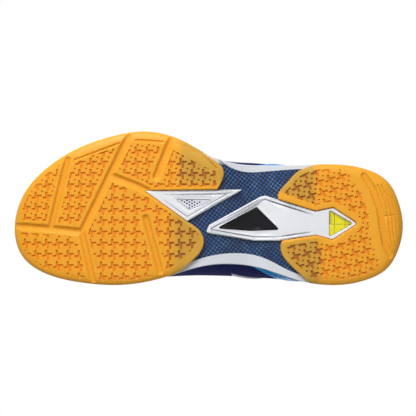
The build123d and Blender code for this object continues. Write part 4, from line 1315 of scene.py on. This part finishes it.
def joined(name, parts, material, sharp=60, **rest):
    """Several point sets, faces and cloth places made into one mesh."""
    points, faces, cloth, first = [], [], [], 0
    for some_points, some_faces, places in parts:
        points.append(some_points)
        faces += [tuple(int(i) + first for i in face) for face in some_faces]
        cloth.append(places)
        first += len(some_points)
    thing = piece(name, np.concatenate(points), faces, material, sharp=sharp, **rest)
    store(thing, "cloth", np.concatenate(cloth))
    return thing


STITCH_LENGTH, STITCH_GAP, STITCH_RADIUS = 1.9, 0.75, 0.33
STITCH_LIFTS = [-0.25, 0.12, 0.22, 0.12, -0.25]
STITCH_SHARES = np.array([0.45, 0.9, 1.0, 0.9, 0.45])


def stitches(name, lines, material, slot):
    """Rows of single stitches along paths given as points and their outward directions."""
    parts = []
    for points, normals in lines:
        length = path_length(points)
        for k in range(int(length[-1] / (STITCH_LENGTH + STITCH_GAP))):
            reach = k * (STITCH_LENGTH + STITCH_GAP) + np.linspace(0, STITCH_LENGTH, 5)
            path = np.stack([np.interp(reach, length, points[:, i]) for i in range(3)], 1)
            out = np.array([np.interp(reach[2], length, normals[:, i]) for i in range(3)])
            radii = STITCH_RADIUS * np.outer(STITCH_SHARES, (1, 1))
            parts.append(tube(path + np.outer(STITCH_LIFTS, out), radii, out, sides=6))
    joined(name, parts, material, slot=slot)


def seam(start, end, level, offset, count=90):
    """A path on the upper's wall for a row of stitches."""
    s = np.linspace(start, end, count)
    t = at(level, s)
    return wall(s, t, offset), wall_normal(s, t)


PAD_FOOT, PAD_HEIGHT, PAD_END, PAD_FADE = 0.36, 0.66, 6.6, 2.2


def collar_pad(s, t):
    """How thick the collar's padding is at a place on the wall."""
    away = np.abs((s + 15) % 30 - 15)
    swell = np.sin(math.pi * np.clip((t - PAD_FOOT) / PAD_HEIGHT, 0, 1)) ** 2
    return COLLAR_PAD * smooth_step((PAD_END - away) / PAD_FADE) * swell


# upper edges of the films: height over the rim, and how fast it falls to the sides
TOE_TOP, TOE_FALL, TOE_LEAST = 0.58, 0.035, 0.08
GUARD_TOP, GUARD_FALL, GUARD_MIDDLE = 0.16, 0.03, 16.8
STABILISER_TOP, STABILISER_FALL = 0.22, 0.012
# soft shapes the part's panels do not have
CREASE_DEPTH, CREASE_T, CREASE_REACH = 0.35, 0.72, 0.16
BULGE_DEPTH, BULGE_PLACE, BULGE_REACH = 2.4, (6.3, 0.42), (1.1, 0.22)


def toe_top(s):
    return np.maximum(TOE_TOP - TOE_FALL * (s - 15.0) ** 2, above_rim(s) + TOE_LEAST)


def guard_top(s):
    return above_rim(s) + GUARD_TOP - GUARD_FALL * np.abs(s - GUARD_MIDDLE)


def stabiliser_top(s):
    return above_rim(s) + STABILISER_TOP - STABILISER_FALL * s * s


def crease(s, t):
    """Shallow waves where the vamp bends."""
    bend = np.exp(-((t - CREASE_T) / CREASE_REACH) ** 2)
    return CREASE_DEPTH * bend * np.sin(2.3 * s + 7 * t)


def bulge(s, t):
    """The soft outer side swells a little over the waist of the sole."""
    away = [((value - middle) / reach) ** 2
            for value, middle, reach in zip((s, t), BULGE_PLACE, BULGE_REACH)]
    return BULGE_DEPTH * np.exp(-away[0]) * np.exp(-away[1])


# stations run once round the shoe from 0 to 30, from the heel over the outer side;
# levels run from 0 at the wall's foot to 1 at its top edge
HEM_T, LINING_T = 0.04, 0.03
TOE_FILM, TOE_GUARD, HEEL_FILM, PULL_STRIP = (12.3, 18.2), (15.6, 18.0), 3.6, 0.42
EYESTAY, EYESTAY_T = (7.02, 13.0), (0.82, 0.995)
TAPE, TAPE_T, TAPE_LAYER = 0.2, (0.06, 0.97), (0.95, 1.25)
LINING_ENDS = 7.5
SUNK = 0.45                             # how far a film reaches into what lies under it
STRIPE_RISE, STRIPE_WIDTH, STRIPE_TAPER = 11.0, 2.6, 11.6
STRIPE_STEP, STRIPE_REACH, STRIPE_LIFT = 0.42, 2.1, 1.0
MEDIAL_STRIPE, LATERAL_STRIPE, PALE_STRIPE = 23.6, 6.6, 23.0
WHITE_ROWS, EYESTAY_ENDS = (0.835, 0.978), (7.2, 12.9)      # levels and ends of the stitching
COLLAR_ROWS, COLLAR_ENDS = (0.93, 0.80), (-6.6, 6.6)
VAMP_ROW = (0.4, 0.8, 0.12)                                 # from, to, and beside the seam


def other_side(start, end):
    """The stations across the shoe from two others."""
    return 30 - end, 30 - start


def upper_panels():
    outer = (SEAM, VAMP_SEAM - SEAM)
    film = (OVERLAY[0] - SUNK, OVERLAY[1])
    wall_panel("quarter_lateral", outer, (HEM_T, 1.0), SHELL, NAVY_MESH, ["lateral_quarter"],
               swell=bulge)
    wall_panel("quarter_medial", (30 - VAMP_SEAM + SEAM, 30 - SEAM), (HEM_T, 1.0), SHELL,
               NAVY_MESH, ["medial_quarter"])
    wall_panel("vamp_mesh", (VAMP_SEAM + SEAM, 30 - VAMP_SEAM - SEAM), (HEM_T, 1.0), SHELL,
               NAVY_MESH, ["vamp"], swell=crease)
    for middle, name in ((0, "heel"), (VAMP_SEAM, "outer"), (30 - VAMP_SEAM, "inner")):
        wall_panel(f"{name}_seam_tape", (middle - TAPE, middle + TAPE), TAPE_T, TAPE_LAYER,
                   NAVY_FILM, edge=0.4)
    wall_panel("toe_film", TOE_FILM, (above_rim, toe_top), film, NAVY_FILM, ["toe_overlay"])
    wall_panel("toe_guard", TOE_GUARD, (lambda s: above_rim(s) + 0.02, guard_top),
               (GUARD[0] - 0.4, GUARD[1]), NAVY_FILM, ["drag_guard"], grain=1.6)
    wall_panel("heel_film", (-HEEL_FILM, HEEL_FILM), (above_rim, stabiliser_top), film,
               WHITE_FILM, ["heel_stabiliser"])
    wall_panel("pull_strip", (-PULL_STRIP, PULL_STRIP), (lambda s: above_rim(s) + 0.27, 0.985),
               film, CYAN_FILM, ["heel_pull_strip"], grain=1.8)
    for side, ends in (("lateral", EYESTAY), ("medial", other_side(*EYESTAY))):
        wall_panel(f"eyestay_{side}", ends, EYESTAY_T, film, WHITE_FILM, [f"{side}_eyestay"],
                   grain=1.8)


def stripe(name, start, lean, material, replaces=(), reach=STRIPE_REACH, lift=STRIPE_LIFT):
    """One slanted stripe that rises from the sole toward the heel."""
    foot = float(wall([start], above_rim(start))[0, 2]) + lift

    def low(s):
        return at_height(s, foot + STRIPE_RISE * (s - start) * lean)

    def high(s):
        return at_height(s, foot + STRIPE_WIDTH + STRIPE_TAPER * (s - start) * lean)

    wall_panel(name, (start, start + reach * lean), (low, high), (OVERLAY[0] - 0.5, OVERLAY[1]),
               material, replaces, edge=0.6, grain=1.8, swell=bulge if lean < 0 else None)


def side_stripes():
    for k in range(2):
        stripe(f"stripe_medial_{k}", MEDIAL_STRIPE + STRIPE_STEP * k, 1, CYAN_FILM,
               ["medial_stripes"])
        stripe(f"stripe_lateral_{k}", LATERAL_STRIPE - STRIPE_STEP * k, -1, CYAN_FILM,
               ["lateral_stripes"])
    stripe("stripe_medial_pale", PALE_STRIPE, 1, WHITE_FILM, reach=1.7, lift=15.0)


def inner_panels():
    """The linings, whose faces look inward."""
    padded = (lambda s, t: LINING[1] - 1.08 * collar_pad(s, t),
              lambda s, t: LINING[0] - 1.12 * collar_pad(s, t))
    wall_panel("collar_lining", (-LINING_ENDS, LINING_ENDS), (LINING_T, LINING_TOP), padded,
               LINING_KNIT, ["heel_lining"])
    wall_panel("forefoot_lining", (LINING_ENDS + 2 * SEAM, 30 - LINING_ENDS - 2 * SEAM),
               (LINING_T, LINING_TOP), LINING[::-1], LINING_KNIT, ["vamp_lining"])


ROLL_END, ROLL_RADII = 6.8, (3.0, 2.5)
SOFT_PRESSURE, SOFT_FRAMES = 4.0, 20


def puffed(thing, pressure, most):
    """Fills a closed soft piece by a cloth simulation; no point moves further than most."""
    scene, count = bpy.context.scene, len(thing.data.vertices)
    before = np.empty(count * 3, np.float32)
    thing.data.vertices.foreach_get("co", before)
    cloth = thing.modifiers.new("fill", "CLOTH")
    cloth.settings.quality = 6
    cloth.settings.mass = 0.02
    cloth.settings.use_pressure = True
    cloth.settings.uniform_pressure_force = pressure
    cloth.settings.effector_weights.gravity = 0
    cloth.point_cache.frame_start, cloth.point_cache.frame_end = 1, SOFT_FRAMES
    for step in range(1, SOFT_FRAMES + 1):
        scene.frame_set(step)
    filled = thing.evaluated_get(bpy.context.evaluated_depsgraph_get()).data
    after = np.empty(count * 3, np.float32)
    filled.vertices.foreach_get("co", after)
    thing.modifiers.remove(cloth)
    scene.frame_set(1)
    move = (after - before).reshape(-1, 3)
    size = np.linalg.norm(move, axis=1, keepdims=True)
    move *= np.minimum(1, most * MM / np.maximum(size, 1e-9))
    thing.data.vertices.foreach_set("co", before + move.ravel())
    thing.data.update()


def topline_roll():
    """The folded edge round the foot opening."""
    s = np.linspace(-ROLL_END, ROLL_END, 150)
    level = np.full(len(s), 1.0)
    taper = 0.35 + 0.65 * smooth_step((ROLL_END - np.abs(s)) / 0.35)
    roll = tube(wall(s, level, 0.65), np.outer(taper, ROLL_RADII), wall_normal(s, level),
                sides=14)
    roll = joined("topline_roll", [roll], BINDING, replaces=["topline_binding"])
    puffed(roll, SOFT_PRESSURE, 0.5)


def sewing():
    """Rows of stitches just inside the edges of the panels."""
    white = [seam(*ends, level, OVERLAY[1]) for level in WHITE_ROWS
             for ends in (EYESTAY_ENDS, other_side(*EYESTAY_ENDS))]
    white.append(seam(-3.5, 3.5, lambda s: stabiliser_top(s) - 0.03, OVERLAY[1]))
    stitches("white_stitching", white, THREAD, "white_film")
    dark = [seam(12.4, 18.1, lambda s: toe_top(s) - 0.03, OVERLAY[1]),
            seam(15.7, 17.9, lambda s: guard_top(s) - 0.02, GUARD[1])]
    dark += [seam(*COLLAR_ENDS, level, SHELL[1]) for level in COLLAR_ROWS]
    low, high, beside_seam = VAMP_ROW
    t = np.linspace(low, high, 40)
    for place in (VAMP_SEAM - beside_seam, 30 - VAMP_SEAM + beside_seam):
        s = np.full(40, place)
        dark.append((wall(s, t, SHELL[1]), wall_normal(s, t)))
    stitches("navy_stitching", dark, NAVY_THREAD, "navy_film")


# ---------------------------------------------------------------- lacing
def eyelet_stations(side):
    row = EYELET_FIRST + EYELET_STEP * np.arange(EYELET_PAIRS)
    return row if side > 0 else 30 - row


def spun(profile, origin, axis, sides=24):
    """A ring turned from a profile of radii and heights."""
    axis = axis / np.linalg.norm(axis)
    one = np.cross(axis, (0, 0, 1.0))
    one /= np.linalg.norm(one)
    two = np.cross(axis, one)
    turn = np.linspace(0, 2 * math.pi, sides, endpoint=False)
    rim = np.cos(turn)[:, None] * one + np.sin(turn)[:, None] * two
    points = np.concatenate([origin + radius * rim + height * axis
                             for radius, height in profile])
    rows = len(profile)
    index = np.arange(rows * sides).reshape(rows, sides)
    after = np.roll(index, -1, 1)
    faces = np.stack([index, np.roll(index, -1, 0), np.roll(after, -1, 0), after], -1)
    return points, list(faces.reshape(-1, 4)), np.zeros((len(points), 3))


RING = [(1.9, -1.2), (1.9, 0.35), (2.1, 0.7), (2.6, 0.85), (3.1, 0.7), (3.4, 0.3), (3.4, 0.0),
        (2.4, -0.1), (2.3, -1.2)]
PLUG = [(0.02, -0.9), (1.95, -0.9), (1.95, -1.3), (0.02, -1.3)]
LACE_CLEAR = 0.5                        # how much higher the laces run than the part's


def eyelet_rings():
    """The eyelets, and dark plugs in them that stand for their holes."""
    rings, plugs = [], []
    for side in (1, -1):
        s = eyelet_stations(side)
        level = np.full(len(s), EYELET_T)
        for origin, axis in zip(wall(s, level, OVERLAY[1]), wall_normal(s, level)):
            rings.append(spun(RING, origin, axis))
            plugs.append(spun(PLUG, origin, axis))
    joined("eyelet_rings", rings, EYELET, replaces=["eyelets"], sharp=50)
    joined("eyelet_shade", plugs, LINING_KNIT, sharp=50)


def lace_path(start, end, over, lift):
    """A run from one eyelet's station to another's, out over the edge or up from under it."""
    first = LACE_OVER + LACE_CLEAR if over else LACE_UNDER
    near = wall([start] * 2, np.array([EYELET_T + 0.012, 1.0]), first)
    far = wall([end] * 2, np.array([1.0, EYELET_T]), LACE_UNDER + LACE_CLEAR)
    middle = (wall([start], [1.0])[0] + wall([end], [1.0])[0]) / 2
    points = [near[0], near[1], middle + np.array([0, 0, lift + LACE_CLEAR]), far[0], far[1]]
    if over:
        points.insert(0, wall([start], [EYELET_T], OVERLAY[0])[0])
    return spline_line(points, 1.0)


def lace_runs():
    """A straight bar at the toe end, then pairs that cross up to the last eyelets."""
    lateral, medial = eyelet_stations(1), eyelet_stations(-1)
    low, high = CROSSING_LIFTS
    runs = [(lateral[-1], medial[-1], False, low - 0.8)]
    for row in range(EYELET_PAIRS - 1):
        runs += [(lateral[row + 1], medial[row], True, low),
                 (medial[row + 1], lateral[row], True, high)]
    parts = []
    for start, end, over, lift in runs:
        path = lace_path(start, end, over, lift)
        wide = np.full(len(path), LACE_WIDTH / 2)
        if over:
            wide *= 0.6 + 0.4 * smooth_step(path_length(path) / 6.0)
        side = np.cross((0, 0, 1.0), path[-1] - path[0])
        radii = np.stack([wide, np.full(len(path), LACE_THICKNESS / 2)], 1)
        parts.append(tube(path, radii, side, sides=14, squareness=0.6))
    joined("lace_ribbon", parts, LACE, replaces=["laces"])


# ---------------------------------------------------------------- tongue and sock liner
TONGUE_EDGE, TONGUE_HALF = 3.0, 17.0    # radius of the tongue's edge, and half its width
CHANNEL_DEPTH, CHANNEL_WIDTH, CHANNEL_PLACE = 0.12, 1.2, 13.0
LINER_SLACK, LINER_EDGE = 1.2, 1.6


def wall_at_y(side, y, t, offset):
    """A point on the upper beside the tongue, found from its place along the shoe."""
    low, high = 5.0, 14.9
    for _ in range(30):
        middle = (low + high) / 2
        place = wall(middle if side > 0 else 30 - middle, t, offset)
        low, high = (middle, high) if place[1] > y else (low, middle)
    return wall(low if side > 0 else 30 - low, t, offset)


def tongue_grid(depth):
    """Points across the tongue at a depth under its outer face, from its root to its head."""
    rows = []
    for y in TONGUE_Y:
        halves = [[wall_at_y(side, y, t, -TONGUE_DROP) for t in (0.89, 0.94, 0.99)]
                  for side in (1, -1)]
        middle = (halves[0][-1] + halves[1][-1]) / 2 + np.array([0, 0, TONGUE_CROWN])
        rows.append((y, [*halves[0], middle, *halves[1][::-1]], TONGUE_LEAN))
    for y, z, half in TONGUE_HEAD:
        across = [(TONGUE_HEAD_X + share * half, y, z - TONGUE_HEAD_FALL * share**2)
                  for share in (1, 0.75, 0.4, 0, -0.4, -0.75, -1)]
        rows.append((y, across, TONGUE_HEAD_LEAN))
    root, second = rows[0], rows[1]
    under_vamp = 2 * np.array(root[1]) - np.array(second[1])
    rows.insert(0, (2 * root[0] - second[0], under_vamp, TONGUE_LEAN))
    grid = []
    for y, row, lean in rows:
        turn = math.radians(lean)
        grid.append([(p[0], y + depth * math.sin(turn), p[2] - depth * math.cos(turn))
                     for p in row])
    return np.array(grid)


def finer(points, count):
    """A cubic curve through points, as an even number of steps."""
    line = spline_line(points, 0.4)
    length = path_length(line)
    even = np.linspace(0, length[-1], count)
    return np.stack([np.interp(even, length, line[:, i]) for i in range(3)], 1)


def tongue_surface(depth, along, across):
    """The tongue's grid refined to even steps along and across."""
    rows = np.array([finer(row, across) for row in tongue_grid(depth)])
    return np.array([finer(rows[:, k], along) for k in range(across)]).transpose(1, 0, 2)


def tongue():
    """The padded tongue: a soft sheet with a mesh face and a channel sewn across its head."""
    along, across = 72, 34
    outer = tongue_surface(0.0, along, across)
    inner = tongue_surface(TONGUE_THICKNESS, along, across)
    length = path_length(outer[:, across // 2])
    from_side = (1 - np.abs(np.linspace(-1, 1, across)))[None, :] * TONGUE_HALF
    edge = np.minimum(from_side, np.minimum(length, length[-1] - length)[:, None])
    full = np.sqrt(1 - (1 - np.clip(edge / TONGUE_EDGE, 0, 1)) ** 2)[..., None]
    middle = (outer + inner) / 2
    from_channel = (length[:, None] - length[-1] + CHANNEL_PLACE) / CHANNEL_WIDTH
    channel = CHANNEL_DEPTH * np.exp(-from_channel ** 2)[..., None]
    face = middle + (outer - middle) * (0.12 + 0.88 * full - channel)
    back = middle + (inner - middle) * (0.12 + 0.88 * full)
    u = np.broadcast_to(np.linspace(-TONGUE_HALF, TONGUE_HALF, across), face.shape[:2])
    v = np.broadcast_to(length[:, None], face.shape[:2])
    thing = closed_sheet("tongue_pad", face, back, u, v, NAVY_MESH, body="tongue", sharp=70,
                         replaces=["tongue_cover", "tongue_foam", "tongue_lining"])
    puffed(thing, SOFT_PRESSURE, 1.0)


def liner():
    """The sock liner: a pad with a rounded edge that follows the footbed."""
    inset = FEATHER_INSET - LINING[0] + LINER_SLACK
    rim = outline_points(ROUND, inset)

    def shape(points):
        floor, away = height_at(FOOTBED, points[:, 1]), distance(points, rim, closed=True)
        over = floor + LINER_LIFT + LINER_THICKNESS - LINER_EDGE * eased_edge(away, LINER_EDGE)
        return floor + LINER_LIFT, over, {}

    loops = outline_loops(*[inset + away for away in (0, 0.15, 0.5, 1.0, LINER_EDGE, 3.0)])
    thing = relief_solid("sock_liner_pad", loops, lambda p: inside(p, rim), shape, spacing=4.0,
                         material=LINER_KNIT, body="liner", replaces=["sock_liner"])


RIB_SHARES, RIB_RADII = (0.42, 0.68), (0.75, 0.6)
WALL_HEIGHTS, WALL_INSETS = [-2, 16, 34, 60], [0.8, 0.3, 0.8, 2.5]


def sidewall():
    """Two moulded ribs round the midsole's wall."""
    s = np.linspace(0, 30, 361)
    out = outward(station(s)[1])
    y = outline_points(s, 0)[:, 1]
    foot = ground(y) + LIP_TOP
    for k, share in enumerate(RIB_SHARES):
        height = foot + share * (height_at(RIM, y) - foot)
        inset = np.interp(height, WALL_HEIGHTS, WALL_INSETS)
        centres = np.column_stack([outline_points(s, 0) - inset[:, None] * out, height])
        across = np.column_stack([out, np.zeros(len(s))])
        joined(f"sidewall_rib_{k}", [tube(centres, RIB_RADII, across, sides=8)], FOAM)


for make in (upper_panels, side_stripes, inner_panels, topline_roll, sewing, eyelet_rings,
             lace_runs, tongue, liner, sidewall):
    make()

CARRIED_OVER = {
    "midsole": FOAM, "shank_plate": WEAVE, "heel_cushion": GEL,
    "forefoot_cushion": CUSHION_FOAM, "strobel_board": BOARD, "collar_padding": COLLAR_FOAM,
    "heel_counter": STIFFENER, "toe_puff": STIFFENER,
}
for node, material in CARRIED_OVER.items():
    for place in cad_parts[node].material_slots:
        place.material = material


# ---------------------------------------------------------------- camera, light and floor
FOCAL_LENGTH = 100.0
HALF_VIEW, SEEN_Z = 153.6, 4.0          # half of the width in view, and the height it holds at
WORLD_LIGHT, WORLD_SEEN = 0.27, 1.0     # strength of the world as a light, and as a backdrop
FLOOR_HALF, FLOOR_Z = 3.0, -0.0003


def look_from_below():
    """Long lens straight under the sole: toe to the left, outer side up."""
    camera = bpy.data.objects.new("camera", bpy.data.cameras.new("camera"))
    bpy.context.scene.collection.objects.link(camera)
    camera.data.lens = FOCAL_LENGTH
    camera.data.clip_start, camera.data.clip_end = 0.01, 50.0
    away = HALF_VIEW * FOCAL_LENGTH / (camera.data.sensor_width / 2)
    camera.matrix_world = Matrix(((0, 1, 0, 0), (1, 0, 0, 0), (0, 0, -1, (SEEN_Z - away) * MM),
                                  (0, 0, 0, 1)))
    bpy.context.scene.camera = camera


def softbox(name, place, size, power):
    """A square light that faces the shoe."""
    light = bpy.data.objects.new(name, bpy.data.lights.new(name, "AREA"))
    light.data.size, light.data.energy = size, power
    bpy.context.scene.collection.objects.link(light)
    light.location = place
    light.rotation_euler = (-Vector(place)).to_track_quat("-Z", "Y").to_euler()


def studio():
    """A white backdrop, dimmer as a light than it looks, and four soft lights."""
    world = bpy.data.worlds.new("studio")
    bpy.context.scene.world = world
    world.use_nodes = True
    nodes, links = world.node_tree.nodes, world.node_tree.links
    background = nodes["Background"]
    background.inputs["Color"].default_value = (1, 1, 1, 1)
    seen = nodes.new("ShaderNodeLightPath")
    strength = nodes.new("ShaderNodeMapRange")
    strength.inputs["To Min"].default_value = WORLD_LIGHT
    strength.inputs["To Max"].default_value = WORLD_SEEN
    links.new(seen.outputs["Is Camera Ray"], strength.inputs["Value"])
    links.new(strength.outputs[0], background.inputs["Strength"])
    softbox("key_below", (0.9, -0.3, -0.85), 0.7, 16.5)
    softbox("fill_below", (-0.5, 0.4, -1.1), 1.0, 1.6)
    softbox("key_above", (0.7, -0.6, 1.0), 0.8, 14.0)
    softbox("fill_above", (-0.8, 0.5, 0.9), 1.0, 8.0)
    bpy.context.scene.view_settings.view_transform = "Standard"


def floor():
    """A pale floor, seen from above only."""
    look = Finish("floor", Base_Color=(0.82, 0.82, 0.83, 1.0), Roughness=0.9)
    place = look.place()
    look.bump(look.noise(place, 60.0), 0.02, 0.1)
    below = look.node("NewGeometry").outputs["Backfacing"]
    gone = look.node("BsdfTransparent").outputs[0]
    choice = look.node("MixShader")
    look.put(below, choice.inputs[0])
    look.put(look.shader.outputs[0], choice.inputs[1])
    look.put(gone, choice.inputs[2])
    look.put(choice.outputs[0], look.output.inputs[0])
    mesh = bpy.data.meshes.new("floor")
    corners = [(x * FLOOR_HALF, y * FLOOR_HALF, FLOOR_Z)
               for x, y in ((-1, -1), (1, -1), (1, 1), (-1, 1))]
    mesh.from_pydata(corners, [], [(0, 1, 2, 3)])
    mesh.materials.append(look.material)
    thing = bpy.data.objects.new("floor", mesh)
    bpy.context.scene.collection.objects.link(thing)
    for ray in ("visible_diffuse", "visible_glossy", "visible_transmission", "visible_shadow"):
        setattr(thing, ray, False)


look_from_below()
studio()
floor()
